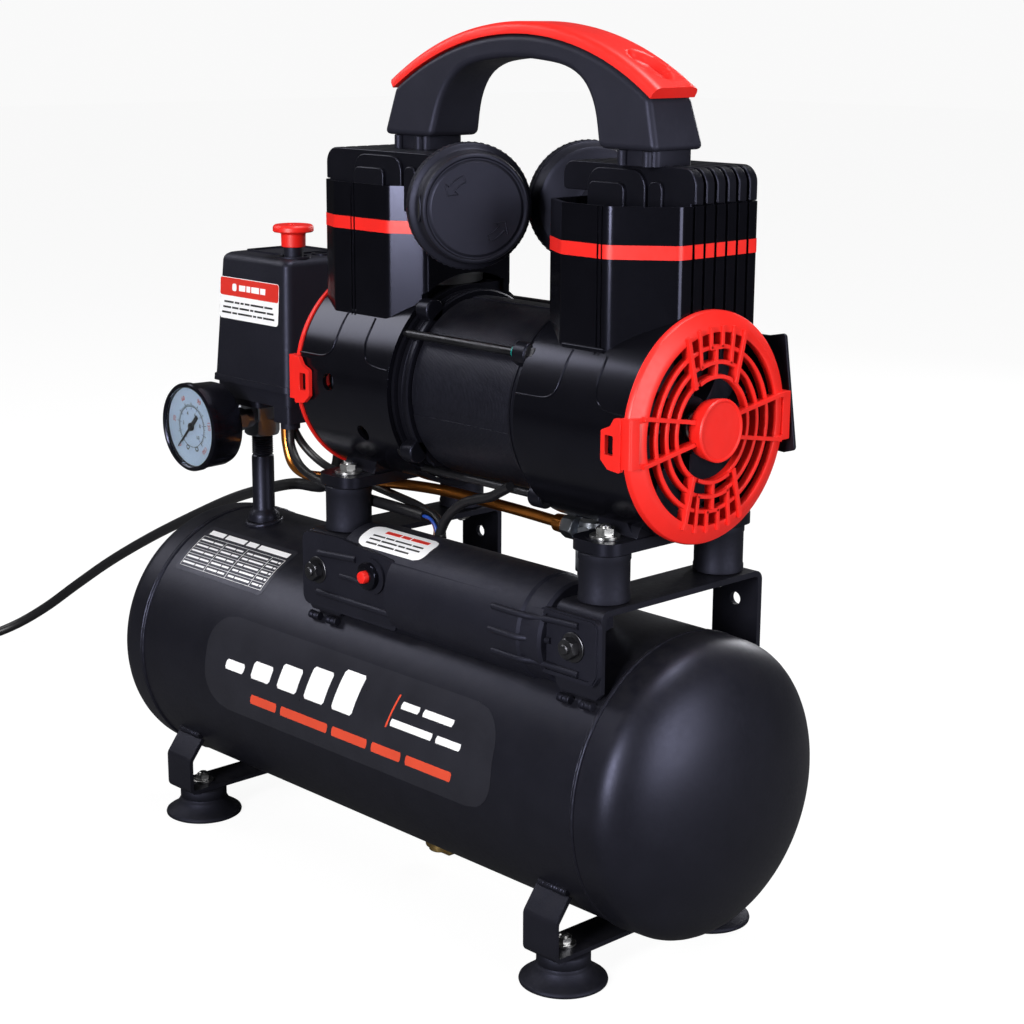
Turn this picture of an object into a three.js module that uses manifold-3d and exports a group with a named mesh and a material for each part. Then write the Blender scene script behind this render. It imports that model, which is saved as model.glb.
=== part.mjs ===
// Oil-free twin-cylinder air compressor on a horizontal 8 litre tank.
// Millimetres. +X runs along the tank towards the right-hand fan, -Y is the front, +Z is up.
// The origin is on the floor under the middle of the tank.

import * as THREE from 'three';
import { mergeVertices } from 'three/addons/utils/BufferGeometryUtils.js';
import Module from 'manifold-3d';

const wasm = await Module();
wasm.setup();

// ---------------------------------------------------------------- driving dimensions

const GAP = 0.3; // clearance kept between neighbouring pieces

const TANK = { radius: 77, wall: 2.5, axisZ: 98.65, seamX: 182.2, flange: 11, dome: 32.3 };
const TANK_END_X = TANK.seamX + TANK.flange + TANK.dome;
const TANK_TOP_Z = TANK.axisZ + TANK.radius;
const TANK_BOTTOM_Z = TANK.axisZ - TANK.radius;

const FOOT = { x: 154.2, y: 54.6, cupRadius: 22.6, neckRadius: 13.5, height: 16.7 };
const STRAP = { width: 23, thickness: 2.5, outerY: 72, kneeZ: 39, weldY: 62.6, weldZ: 51 };

const SADDLE = { width: 30, thickness: 3, halfSpan: 58.7, topZ: 197.8, bottomZ: 153.4, holeZ: 180 };
const MOTOR = { x: 69, z: 280 }; // middle of the motor; every end unit is placed about it
const POST = { s: 96.5, y: 41.5, radius: 12.8, topZ: 222.7 };

// End-unit sizes. s is measured outwards from the middle of the motor along the shaft.
const STATOR = { half: 37, outer: 47.5, inner: 28 };
const CRANKCASE = { ringRadius: 50.5, radius: 40, cavity: 30, wallEnd: 54, end: 97 };
const SHAFT = { radius: 7, half: 116, bore: 8 };
const CRANK = { s: 80, throw: 6, discRadius: 15, width: 10, rodWidth: 8 };
const CYLINDER = { inner: 28.5, outer: 31, bottomZ: 332.3, topZ: 371 };
const PISTON = { radius: 22, height: 10, topAboveCrank: 82 };
const HEAD = { s0: 52.3, s1: 114, y0: -23, y1: 37, topZ: 401, finPitch: 8, finThickness: 3 };
const SHROUD = { s0: 47, s1: 120, drum: 55.5, wall: 2.5, topZ: 385 };
const FAN = { s: 101, radius: 48, blades: 8, width: 12 };
const GUARD = { s0: SHROUD.s1 + GAP, ringS: 126.5, hubS: 132, ringRadius: 56.4, hubRadius: 15.4 };
const FILTER = { s: 23, y: 24, z: 377.5, radius: 31.5, frontRadius: 27, depth: 30, baseDepth: 9 };
const FILTER_ANGLE = THREE.MathUtils.degToRad(150); // direction the filters face, from +s towards +y

const HANDLE = { x: 73, halfLength: 95, legPitch: 81, footZ: HEAD.topZ + GAP, legZ: 409, tipZ: 438 };
const HANDLE_PEAK_Z = 467.6;
const HANDLE_HALF_WIDTH = 16.5;
const GRIP_THICKNESS = 6;

const RISER = { x: -147, y: -10, radius: 6.6, topZ: 228.2 };
const PORT_Z = 239; // height of the manifold's side ports
const GAUGE = { backY: -39, frontY: -63, radius: 25 };
const CHECK_VALVE = { x: 118, y: -1.5 };
const SWITCH = { x0: -163.5, x1: -100.5, y0: -25, y1: 33, z0: 261, z1: 336, flare: 4.5, wall: 2.2 };
const KNOB = { x: -112, y: -11, topZ: 354.5 };

const COVER = { y: -40.4, z: 176.8, radius: 27.7, x0: -12, x1: 147, flatY: -61.7, flatEndX: 35 };
const RESET = { x: 15.7, z: 183.5 };

const CORD = { diameter: 7 };
const COIL = { x: -520, y: -72, middleRadius: 38.5, turnsWide: 2, turnsHigh: 2 };

const COLOURS = {
  satinBlack: [0x16171a, 0.38, 0.55],
  glossBlack: [0x101114, 0.25, 0.1],
  plasticBlack: [0x1b1c1f, 0.5, 0],
  rubber: [0x0f0f10, 0.8, 0],
  red: [0xd9160c, 0.4, 0],
  steel: [0xb9bcc0, 0.3, 1],
  aluminium: [0x9a9da2, 0.45, 1],
  laminations: [0x1a1a1c, 0.55, 0.6],
  copper: [0xc9691f, 0.28, 1],
  brass: [0xb8964e, 0.35, 1],
  seal: [0xe9ecef, 0.5, 0],
};

// ---------------------------------------------------------------- geometry helpers

const AXIS_BASES = {
  x: new THREE.Matrix4().makeBasis(new THREE.Vector3(0, 1, 0), new THREE.Vector3(0, 0, 1), new THREE.Vector3(1, 0, 0)),
  y: new THREE.Matrix4().makeBasis(new THREE.Vector3(0, 0, 1), new THREE.Vector3(1, 0, 0), new THREE.Vector3(0, 1, 0)),
  z: new THREE.Matrix4(),
};

// A box given by its lowest and highest corners.
function box(x0, x1, y0, y1, z0, z1) {
  const geometry = new THREE.BoxGeometry(x1 - x0, y1 - y0, z1 - z0);
  return geometry.translate((x0 + x1) / 2, (y0 + y1) / 2, (z0 + z1) / 2);
}

// A solid of revolution about a line parallel to an axis; profile is a list of [along, radius].
function turned(axis, profile, centre, segments = 20) {
  const points = profile.map(([along, radius]) => new THREE.Vector2(radius, along));
  const geometry = new THREE.LatheGeometry(points, segments);
  geometry.rotateX(Math.PI / 2).applyMatrix4(AXIS_BASES[axis]);
  return geometry.translate(...centre);
}

function rod(axis, radius, from, to, centre, segments = 16) {
  return turned(axis, [[from, 0], [from, radius], [to, radius], [to, 0]], centre, segments);
}

function ring(axis, inner, outer, from, to, centre, segments = 24) {
  const profile = [[from, inner], [from, outer], [to, outer], [to, inner], [from, inner]];
  return turned(axis, profile, centre, segments);
}

// A prism whose outline is drawn in the plane across the axis: x takes (y, z), y takes (z, x), z takes (x, y).
function prism(axis, outline, from, to) {
  const shape = new THREE.Shape(outline.map(([a, b]) => new THREE.Vector2(a, b)));
  const geometry = new THREE.ExtrudeGeometry(shape, { depth: to - from, bevelEnabled: false });
  return geometry.translate(0, 0, from).applyMatrix4(AXIS_BASES[axis]);
}

// A round tube along a smooth curve through the given points.
function tube(points, radius, steps, sides = 8) {
  const section = new THREE.Shape();
  for (let i = 0; i < sides; i += 1) {
    const angle = (2 * Math.PI * i) / sides;
    const corner = [radius * Math.cos(angle), radius * Math.sin(angle)];
    if (i === 0) section.moveTo(...corner);
    else section.lineTo(...corner);
  }
  section.closePath();
  const curve = new THREE.CatmullRomCurve3(points.map((p) => new THREE.Vector3(...p)));
  return new THREE.ExtrudeGeometry(section, { steps, extrudePath: curve, bevelEnabled: false });
}

function arc(centre, radius, fromDegrees, toDegrees, steps) {
  return Array.from({ length: steps + 1 }, (_, i) => {
    const angle = THREE.MathUtils.degToRad(fromDegrees + ((toDegrees - fromDegrees) * i) / steps);
    return [centre[0] + radius * Math.cos(angle), centre[1] + radius * Math.sin(angle)];
  });
}

function toSolid(geometry) {
  const bare = new THREE.BufferGeometry();
  bare.setAttribute('position', geometry.getAttribute('position'));
  bare.setIndex(geometry.index);
  const merged = mergeVertices(bare, 1e-4);
  const corners = merged.index.array;
  const kept = [];
  for (let i = 0; i < corners.length; i += 3) {
    const [a, b, c] = corners.slice(i, i + 3);
    if (a !== b && b !== c && c !== a) kept.push(a, b, c);
  }
  const vertProperties = new Float32Array(merged.getAttribute('position').array);
  return new wasm.Manifold(new wasm.Mesh({ numProp: 3, vertProperties, triVerts: new Uint32Array(kept) }));
}

function toGeometry(solid) {
  const mesh = solid.getMesh();
  const geometry = new THREE.BufferGeometry();
  geometry.setAttribute('position', new THREE.BufferAttribute(mesh.vertProperties, 3));
  geometry.setIndex(new THREE.BufferAttribute(mesh.triVerts, 1));
  geometry.computeVertexNormals();
  return geometry;
}

// Joins the first list and cuts the second list out of it.
function carve(joined, removed = []) {
  const whole = joined.map(toSolid).reduce((a, b) => a.add(b));
  return toGeometry(removed.map(toSolid).reduce((a, b) => a.subtract(b), whole));
}

// Keeps only what lies inside the given bounds.
function trim(geometry, bounds) {
  return toGeometry(toSolid(geometry).intersect(toSolid(bounds)));
}

function piece(name, geometry, [color, roughness, metalness]) {
  const mesh = new THREE.Mesh(geometry, new THREE.MeshStandardMaterial({ color, roughness, metalness }));
  mesh.name = name;
  return mesh;
}

// ---------------------------------------------------------------- tank and its supports

function tankProfile(radius, endX, domeSteps) {
  const dome = arc([0, 0], 1, 180, 90, domeSteps).map(([c, r]) => [c * TANK.dome, r * radius]);
  const left = dome.map(([along, r]) => [along - (endX - TANK.dome), r]);
  const right = left.map(([along, r]) => [-along, r]).reverse();
  left[0][1] = 0;
  right[right.length - 1][1] = 0;
  return [...left, ...right];
}

function makeTank() {
  const centre = [0, 0, TANK.axisZ];
  const inner = TANK.radius - TANK.wall;
  const drain = [0, 0, 0];
  return carve(
    [
      turned('x', tankProfile(TANK.radius, TANK_END_X, 4), centre, 28),
      ring('x', inner, TANK.radius + 0.8, -TANK.seamX - 2.5, -TANK.seamX + 2.5, centre, 28),
      ring('x', inner, TANK.radius + 0.8, TANK.seamX - 2.5, TANK.seamX + 2.5, centre, 28),
      rod('z', 9, TANK_BOTTOM_Z - 6, TANK_BOTTOM_Z + 1.5, drain),
    ],
    [
      turned('x', tankProfile(inner, TANK_END_X - TANK.wall, 2), centre, 16),
      rod('z', 5, TANK_BOTTOM_Z - 7, TANK_BOTTOM_Z + 4, drain),
    ],
  );
}

// Half of the foot strap's outline in (y, z), from the weld on the tank down to the cross bar.
function strapHalf(side) {
  const t = STRAP.thickness;
  const lowZ = FOOT.height + GAP;
  return {
    outer: [[side * STRAP.weldY, STRAP.weldZ], [side * STRAP.outerY, STRAP.kneeZ], [side * STRAP.outerY, lowZ]],
    inner: [
      [side * (STRAP.outerY - t), lowZ + t],
      [side * (STRAP.outerY - t), STRAP.kneeZ - 1],
      [side * (STRAP.weldY - 0.3), STRAP.weldZ - 3.6],
    ],
  };
}

function makeFootStrap(x) {
  const right = strapHalf(1);
  const left = strapHalf(-1);
  const outline = [
    ...left.outer.reverse(),
    ...left.inner.reverse(),
    ...right.inner,
    ...right.outer,
  ];
  const ordered = [...outline.slice(2, 3), ...outline.slice(3, 9), ...outline.slice(9), ...outline.slice(0, 2)];
  const holes = [-1, 1].map((side) => rod('z', 3.6, FOOT.height - 1, 24, [x, side * FOOT.y, 0], 16));
  return carve([prism('x', ordered, x - STRAP.width / 2, x + STRAP.width / 2)], holes);
}

// A suction-cup foot with its moulded-in stud and the nut that clamps it to the strap.
function makeFoot(x, y) {
  const strapTop = FOOT.height + GAP + STRAP.thickness;
  const profile = [
    [0, 0],
    [0, FOOT.cupRadius],
    [2.5, FOOT.cupRadius],
    [9, FOOT.neckRadius + 1],
    [11, FOOT.neckRadius],
    [FOOT.height, FOOT.neckRadius],
    [FOOT.height, 3.2],
    [strapTop + GAP, 3.2],
    [strapTop + GAP, 6.5],
    [strapTop + 4.5, 6.5],
    [strapTop + 4.5, 0],
  ];
  return turned('z', profile, [x, y, 0], 14);
}

function makeSaddle(x) {
  const { halfSpan, topZ, bottomZ, thickness, width, holeZ } = SADDLE;
  const corner = 5;
  const outline = [
    [-halfSpan, bottomZ],
    [-halfSpan + thickness, bottomZ],
    [-halfSpan + thickness, topZ - thickness],
    [halfSpan - thickness, topZ - thickness],
    [halfSpan - thickness, bottomZ],
    [halfSpan, bottomZ],
    ...arc([halfSpan - corner, topZ - corner], corner, 0, 90, 3),
    ...arc([-halfSpan + corner, topZ - corner], corner, 90, 180, 3),
  ];
  const holes = [-1, 1].map((side) => rod('z', 3.6, topZ - 5, topZ + 1, [x, side * POST.y, 0], 16));
  const boltHole = rod('y', 3.4, halfSpan - 5, halfSpan + 1, [x, 0, holeZ], 16);
  return carve([prism('x', outline, x - width / 2, x + width / 2)], [...holes, boltHole]);
}

// A rubber vibration mount: a lower stud and nut under the saddle, an upper stud and nut over the crankcase foot.
function makeRubberMount(x, y) {
  const saddleUnder = SADDLE.topZ - SADDLE.thickness;
  const plateTop = POST.topZ + GAP + 6;
  const profile = [
    [saddleUnder - 4.5, 0],
    [saddleUnder - 4.5, 6.2],
    [saddleUnder - GAP, 6.2],
    [saddleUnder - GAP, 3],
    [SADDLE.topZ + GAP, 3],
    [SADDLE.topZ + GAP, POST.radius],
    [POST.topZ, POST.radius],
    [POST.topZ, 3],
    [plateTop + GAP, 3],
    [plateTop + GAP, 6.2],
    [plateTop + 4.5, 6.2],
    [plateTop + 4.5, 0],
  ];
  return turned('z', profile, [x, y, 0], 12);
}

// ---------------------------------------------------------------- one end of the motor-pump, outwards along +s

function makeCrankcase() {
  const axis = [0, 0, MOTOR.z];
  const plateZ = POST.topZ + GAP;
  const lugs = [54, 144, 234, 324].map((degrees) => {
    const [y, z] = arc([0, MOTOR.z], 52, degrees, degrees, 1)[0];
    return { lug: rod('x', 6, STATOR.half + GAP, 46.5, [0, y, z], 8), hole: rod('x', 2.6, 30, 50, [0, y, z], 6) };
  });
  const studs = [-1, 1].map((side) => rod('z', 3.4, plateZ - 1, plateZ + 7, [POST.s, side * POST.y, 0], 8));
  return carve(
    [
      ring('x', STATOR.inner, CRANKCASE.ringRadius, STATOR.half + GAP, 45, axis, 20),
      rod('x', CRANKCASE.radius, 44, CRANKCASE.end, axis, 20),
      box(50, CRANKCASE.end, -27, 27, 300, CYLINDER.bottomZ - GAP),
      box(60, CRANKCASE.end, -14, 14, plateZ + 3, 250),
      box(POST.s - 15, POST.s + 15, -54, 54, plateZ, plateZ + 6),
      ...lugs.map(({ lug }) => lug),
    ],
    [
      rod('x', CRANKCASE.cavity, CRANKCASE.wallEnd, CRANKCASE.end + 1, axis),
      rod('x', SHAFT.bore, 30, 60, axis, 12),
      rod('x', STATOR.inner, 30, 41, axis, 20),
      box(CRANK.s - 9, CRANK.s + 9, -22, 22, 290, 340),
      ...studs,
      ...lugs.map(({ hole }) => hole),
    ],
  );
}

function makeSleeve() {
  const { inner, outer, bottomZ, topZ } = CYLINDER;
  return ring('z', inner, outer, bottomZ, topZ, [CRANK.s, 0, 0]);
}

// A finned head: a base plate, plates standing across the shaft and a pad for the handle's foot.
function makeHead() {
  const baseZ = CYLINDER.topZ + GAP;
  const { s0, s1, y0, y1, topZ, finPitch, finThickness } = HEAD;
  const corner = 14;
  const finOutline = [
    [baseZ + 2, s0],
    ...arc([topZ - corner, s0 + corner], corner, -90, 0, 3),
    ...arc([topZ - corner, s1 - corner], corner, 0, 90, 3),
    [baseZ + 2, s1],
  ];
  const fins = [];
  for (let y = y0; y + finThickness <= y1; y += finPitch) {
    fins.push(prism('y', finOutline, y, y + finThickness));
  }
  const head = carve([
    box(s0, s1, y0, y1, baseZ, baseZ + 8),
    box(s0 + 18, s1 - 14, -14, 20, baseZ + 2, topZ),
    ...fins,
  ]);
  return trim(head, prism('z', shroudPlan(SHROUD.wall + 0.8), baseZ - 1, topZ + 1));
}

// The plan of the shroud's upper box in (s, y), shrunk inwards by a margin.
function shroudPlan(margin) {
  const m = margin;
  return [
    [44 + m, -29 + m],
    [64 + m * 0.4, -41 + m],
    [94 - m * 0.4, -41 + m],
    [120 - m, -19 + m * 0.4],
    [120 - m, 36 - m * 0.4],
    [105 - m * 0.3, 42 - m],
    [62 + m * 0.3, 42 - m],
    [44 + m, 30 - m],
  ];
}

function makeShroud() {
  const axis = [0, 0, MOTOR.z];
  const { s0, s1, drum, wall, topZ } = SHROUD;
  return carve(
    [rod('x', drum, s0, s1, axis, 32), prism('z', shroudPlan(0), MOTOR.z, topZ)],
    [
      rod('x', drum - wall, s0 - 1, s1 + 1, axis, 28),
      rod('x', 59, s0 - 5, s0 - GAP, axis, 24),
      prism('z', shroudPlan(wall), MOTOR.z - 10, topZ + 1),
      box(42, 50, -4, 26, FILTER.z - 14, topZ + 1),
      box(58, POST.s + 17, -26, 26, 218, 232),
      rod('y', 4.7, 40, 60, [95.4, 0, MOTOR.z], 12),
      rod('y', 4.2, 40, 60, [73.8, 0, MOTOR.z - 25], 12),
    ],
  );
}

function makeGuard() {
  const axis = [0, 0, MOTOR.z];
  const { s0, ringS, hubS, ringRadius, hubRadius } = GUARD;
  const barS = ringS - 4;
  const bars = [0, 60, 120].map((degrees) => {
    const bar = box(barS, ringS + 0.5, -50, 50, -2, 2);
    return bar.rotateX(THREE.MathUtils.degToRad(degrees + 8)).translate(0, 0, MOTOR.z);
  });
  const tabs = [-1, 1].map((side) => {
    const [near, far] = [side * 56.2, side * 59.8].sort((a, b) => a - b);
    return box(s0 - 8, ringS - 1, near, far, MOTOR.z - 14, MOTOR.z + 8);
  });
  const bridges = [-1, 1].map((side) => {
    const [near, far] = [side * 50, side * 59].sort((a, b) => a - b);
    return box(s0 + 1, ringS - 1, near, far, MOTOR.z - 14, MOTOR.z + 8);
  });
  return carve([
    ring('x', 48, ringRadius, s0, ringS, axis, 20),
    ring('x', 30, 33, barS, ringS + 0.5, axis, 14),
    rod('x', hubRadius, barS, hubS, axis, 12),
    ...bars,
    ...tabs,
    ...bridges,
  ]);
}

// Filter pieces are turned about their own axis, then aimed along the direction the filter faces.
function aimFilter(geometry) {
  return geometry.rotateZ(FILTER_ANGLE).translate(FILTER.s, FILTER.y, FILTER.z);
}

function makeFilterBase() {
  const profile = [
    [-28.3, 0],
    [-28.3, 9],
    [0, 9],
    [1, FILTER.radius - 3],
    [FILTER.baseDepth, FILTER.radius],
    [FILTER.baseDepth, 10],
    [22, 10],
    [22, 0],
  ];
  return aimFilter(turned('x', profile, [0, 0, 0]));
}

function makeFilterCap() {
  const { baseDepth, radius, frontRadius, depth } = FILTER;
  const profile = [
    [depth, 0],
    [depth, frontRadius],
    [baseDepth + 7, radius],
    [baseDepth + GAP, radius],
    [baseDepth + GAP, radius - 2.5],
    [baseDepth + 7, radius - 2.5],
    [depth - 2.5, frontRadius - 2],
    [depth - 2.5, 0],
  ];
  return aimFilter(turned('x', profile.reverse(), [0, 0, 0], 24));
}

// ---------------------------------------------------------------- rotating parts

const CRANK_SIGNS = { right: 1, left: -1 }; // the two cranks are half a turn apart

function makeShaft() {
  return rod('x', SHAFT.radius, -SHAFT.half, SHAFT.half, [0, 0, MOTOR.z]);
}

function makeRotorCore() {
  return ring('x', SHAFT.radius + GAP, STATOR.inner - 0.8, -STATOR.half, STATOR.half, [0, 0, MOTOR.z], 20);
}

// s is mirrored to -s and the throw is turned over for the left-hand unit.
function makeEccentric(side) {
  const centre = [side * CRANK.s, 0, MOTOR.z + side * CRANK.throw];
  return carve(
    [rod('x', CRANK.discRadius, -CRANK.width / 2, CRANK.width / 2, centre, 20)],
    [rod('x', SHAFT.radius + GAP, -20, 20, [side * CRANK.s, 0, MOTOR.z])],
  );
}

function makePistonRod(side) {
  const pinZ = MOTOR.z + side * CRANK.throw;
  const half = CRANK.rodWidth / 2;
  const centre = [side * CRANK.s, 0, pinZ];
  const crown = pinZ + PISTON.topAboveCrank;
  const s = side * CRANK.s;
  return carve([
    ring('x', CRANK.discRadius + 0.5, CRANK.discRadius + 5, -half, half, centre, 20),
    box(s - half, s + half, -6, 6, pinZ + CRANK.discRadius + 3, crown - PISTON.height + 1),
    rod('z', PISTON.radius, crown - PISTON.height, crown, [s, 0, 0], 20),
  ]);
}

function makeFan(side) {
  const axis = [0, 0, MOTOR.z];
  const blades = Array.from({ length: FAN.blades }, (_, i) => {
    const blade = box(1, FAN.width, -1.2, 1.2, 12, FAN.radius - 2);
    return blade.rotateX((2 * Math.PI * i) / FAN.blades).translate(FAN.s, 0, MOTOR.z);
  });
  const fan = carve(
    [
      rod('x', FAN.radius, FAN.s, FAN.s + 2, axis, 24),
      rod('x', 14, FAN.s, FAN.s + FAN.width, axis, 14),
      ...blades,
    ],
    [rod('x', SHAFT.radius + GAP, FAN.s - 1, FAN.s + FAN.width + 1, axis)],
  );
  return side > 0 ? fan : fan.rotateZ(Math.PI);
}

// ---------------------------------------------------------------- carrying handle

const HANDLE_RISE = HANDLE_PEAK_Z - HANDLE.tipZ;
const HANDLE_ARC_RADIUS = (HANDLE.halfLength ** 2 + HANDLE_RISE ** 2) / (2 * HANDLE_RISE);
const HANDLE_ARC_DEGREES = THREE.MathUtils.radToDeg(Math.asin(HANDLE.halfLength / HANDLE_ARC_RADIUS));

// Outlines are drawn in (z, x), so an angle of 0 points straight up.
function handleArc(offset, sign, steps) {
  const centre = [HANDLE_PEAK_Z - HANDLE_ARC_RADIUS, HANDLE.x];
  const radius = HANDLE_ARC_RADIUS - offset;
  return arc(centre, radius, -sign * HANDLE_ARC_DEGREES, sign * HANDLE_ARC_DEGREES, steps);
}

function makeHandleBody() {
  const { x, legPitch, footZ, legZ } = HANDLE;
  const outer = handleArc(GRIP_THICKNESS + GAP, 1, 10);
  const inner = [
    [legZ, x + legPitch - 14],
    [436, x + legPitch - 19],
    [445, x + legPitch - 27],
    [450, x + 34],
    [451, x],
    [450, x - 34],
    [445, x - legPitch + 27],
    [436, x - legPitch + 19],
    [legZ, x - legPitch + 14],
  ];
  const outline = [[legZ, x - legPitch - 15], ...outer, [legZ, x + legPitch + 15], ...inner];
  const feet = [-1, 1].map((side) => {
    const middle = x + side * legPitch;
    return box(middle - 12, middle + 12, -12, 12, footZ, legZ + 2);
  });
  return carve([prism('y', outline, -HANDLE_HALF_WIDTH, HANDLE_HALF_WIDTH), ...feet]);
}

function makeGripCover() {
  const outline = [...handleArc(0, 1, 10), ...handleArc(GRIP_THICKNESS, -1, 10)];
  return prism('y', outline, -HANDLE_HALF_WIDTH, HANDLE_HALF_WIDTH);
}

// ---------------------------------------------------------------- pressure switch, gauge and air fittings

function makeRiser() {
  const profile = [
    [TANK_TOP_Z + GAP, 0],
    [TANK_TOP_Z + GAP, 9.3],
    [TANK_TOP_Z + 5, 9.3],
    [TANK_TOP_Z + 8, RISER.radius],
    [RISER.topZ, RISER.radius],
    [RISER.topZ, 0],
  ];
  return turned('z', profile, [RISER.x, RISER.y, 0], 20);
}

// A hexagonal block with a threaded neck at the front, left and rear.
function makeManifold() {
  const { x, y } = RISER;
  return carve([
    rod('z', 11, RISER.topZ + GAP, 246.7, [x, y, 0], 6),
    rod('y', 5.5, GAUGE.backY + GAP, y, [x, 0, PORT_Z], 12),
    rod('x', 6, x - 19, x, [0, y, PORT_Z], 12),
    rod('y', 6, y, y + 18, [x, 0, PORT_Z], 12),
  ]);
}

function makeGaugeCase() {
  const { backY, frontY, radius } = GAUGE;
  const profile = [
    [frontY + 3.2, 0],
    [frontY + 3.2, radius - 2.5],
    [frontY, radius - 2],
    [frontY, radius],
    [frontY + 3, radius + 0.6],
    [backY - 2, radius - 1],
    [backY, radius - 4],
    [backY, 0],
  ];
  return turned('y', profile, [RISER.x, 0, PORT_Z], 24);
}

// The pointer rests on zero, at the lower left of the dial.
function makeNeedle() {
  const dialY = GAUGE.frontY + 3.2;
  const pointer = carve([
    rod('y', 2.4, dialY - 1.6, dialY - GAP, [0, 0, 0], 12),
    box(-0.7, 0.7, dialY - 1.3, dialY - 0.6, -6, 17),
  ]);
  return pointer.rotateY(THREE.MathUtils.degToRad(-135)).translate(RISER.x, 0, PORT_Z);
}

function makeSafetyValve() {
  const profile = [
    [RISER.y + 18 + GAP, 0],
    [RISER.y + 18 + GAP, 8],
    [15, 8],
    [16, 6.2],
    [33, 6.2],
    [33, 2],
    [25, 2],
    [25, 0],
  ];
  return turned('y', profile, [RISER.x, 0, PORT_Z], 16);
}

function makeSafetyRing() {
  const hoop = new THREE.TorusGeometry(7, 1, 5, 14).translate(RISER.x, 48.4, PORT_Z);
  return carve([hoop, rod('y', 1.5, 27, 42, [RISER.x, 0, PORT_Z], 8)]);
}

function makeCoupler() {
  const mouth = -204;
  const profile = [
    [mouth, 5],
    [mouth, 7.4],
    [-174, 7.4],
    [-174, 9.5],
    [RISER.x - 19 - GAP, 9.5],
    [RISER.x - 19 - GAP, 0],
    [mouth + 22, 0],
    [mouth + 22, 5],
    [mouth, 5],
  ];
  return turned('x', profile, [0, RISER.y, PORT_Z], 16);
}

function makeCouplerSleeve() {
  return ring('x', 7.8, 11.8, -201, -179, [0, RISER.y, PORT_Z], 20);
}

// A box that grows by flare on every side towards its lower end.
function flaredBox({ x0, x1, y0, y1, z0, z1 }, flare, margin) {
  const geometry = box(x0 + margin, x1 - margin, y0 + margin, y1 - margin, z0, z1);
  const position = geometry.getAttribute('position');
  const middle = [(x0 + x1) / 2, (y0 + y1) / 2];
  for (let i = 0; i < position.count; i += 1) {
    if (position.getZ(i) < z0 + 1) {
      position.setX(i, position.getX(i) + flare * Math.sign(position.getX(i) - middle[0]));
      position.setY(i, position.getY(i) + flare * Math.sign(position.getY(i) - middle[1]));
    }
  }
  return geometry;
}

function makeSwitchCover() {
  const hollow = { ...SWITCH, z0: SWITCH.z0 - 1, z1: SWITCH.z1 - SWITCH.wall };
  return carve(
    [flaredBox(SWITCH, SWITCH.flare, 0)],
    [flaredBox(hollow, SWITCH.flare, SWITCH.wall), rod('z', 7.8, 320, 340, [KNOB.x, KNOB.y, 0], 20)],
  );
}

function makeSwitchBase() {
  const { x0, x1, y0, y1, z0 } = SWITCH;
  return carve(
    [
      box(x0 - 3, x1 + 3, y0 - 3, y1 + 3, 252, z0 - GAP),
      box(x0 + 1, -132, y0 + 1, 8, 247, 253),
      box(-113, x1 + 3, y0 - 3, -14, 243, 253),
      box(x0 + 6, -124, y0 + 8, y1 - 6, z0 - 1, 305),
    ],
    [rod('z', 3.6, 240, 250, [-105, -21, 0], 10)],
  );
}

function makeKnob() {
  const top = KNOB.topZ;
  const profile = [
    [321, 0],
    [321, 6],
    [top - 14.5, 6],
    [top - 14.5, 7.2],
    [top - 4.5, 7.2],
    [top - 4, 11.8],
    [top - 1, 11.8],
    [top, 10.5],
    [top, 0],
  ];
  return turned('z', profile, [KNOB.x, KNOB.y, 0], 18);
}

function makeCheckValve() {
  const centre = [CHECK_VALVE.x, CHECK_VALVE.y, 0];
  return carve([
    rod('z', 8, TANK_TOP_Z + GAP, 196, centre),
    rod('z', 9.5, 196, 210, centre, 6),
    rod('z', 6.5, 209, 222.5, centre),
  ]);
}

// The thin bleed tube from the check valve to the unloader under the pressure switch.
function makeUnloaderTube() {
  const valve = [CHECK_VALVE.x - 10, -5, 217.2];
  const port = [-124, -10, 251.7];
  const route = [
    [...port],
    [-124, -10, 238],
    [-123, -10, 226],
    [-118, -10, 215],
    [-106, -10, 210.5],
    [-85, -10, 212],
    [-40, -10, 217],
    [12, -10, 221],
    [60, -9, 220.5],
    [92, -6, 218.5],
    valve,
  ];
  return carve([
    tube(route, 3, 24),
    rod('z', 5.2, 243, 246.7, [port[0], port[1], 0], 6),
    rod('x', 5.6, 98, 111, [0, valve[1] + 0.4, valve[2]], 6),
  ]);
}

function makeDrainCock() {
  return carve([
    rod('z', 4.5, 9, TANK_BOTTOM_Z + 3, [0, 0, 0], 16),
    rod('z', 6.5, 7, 13, [0, 0, 0], 16),
    box(-11, 11, -1.8, 1.8, 6, 12),
  ]);
}

// ---------------------------------------------------------------- capacitor housing

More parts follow.
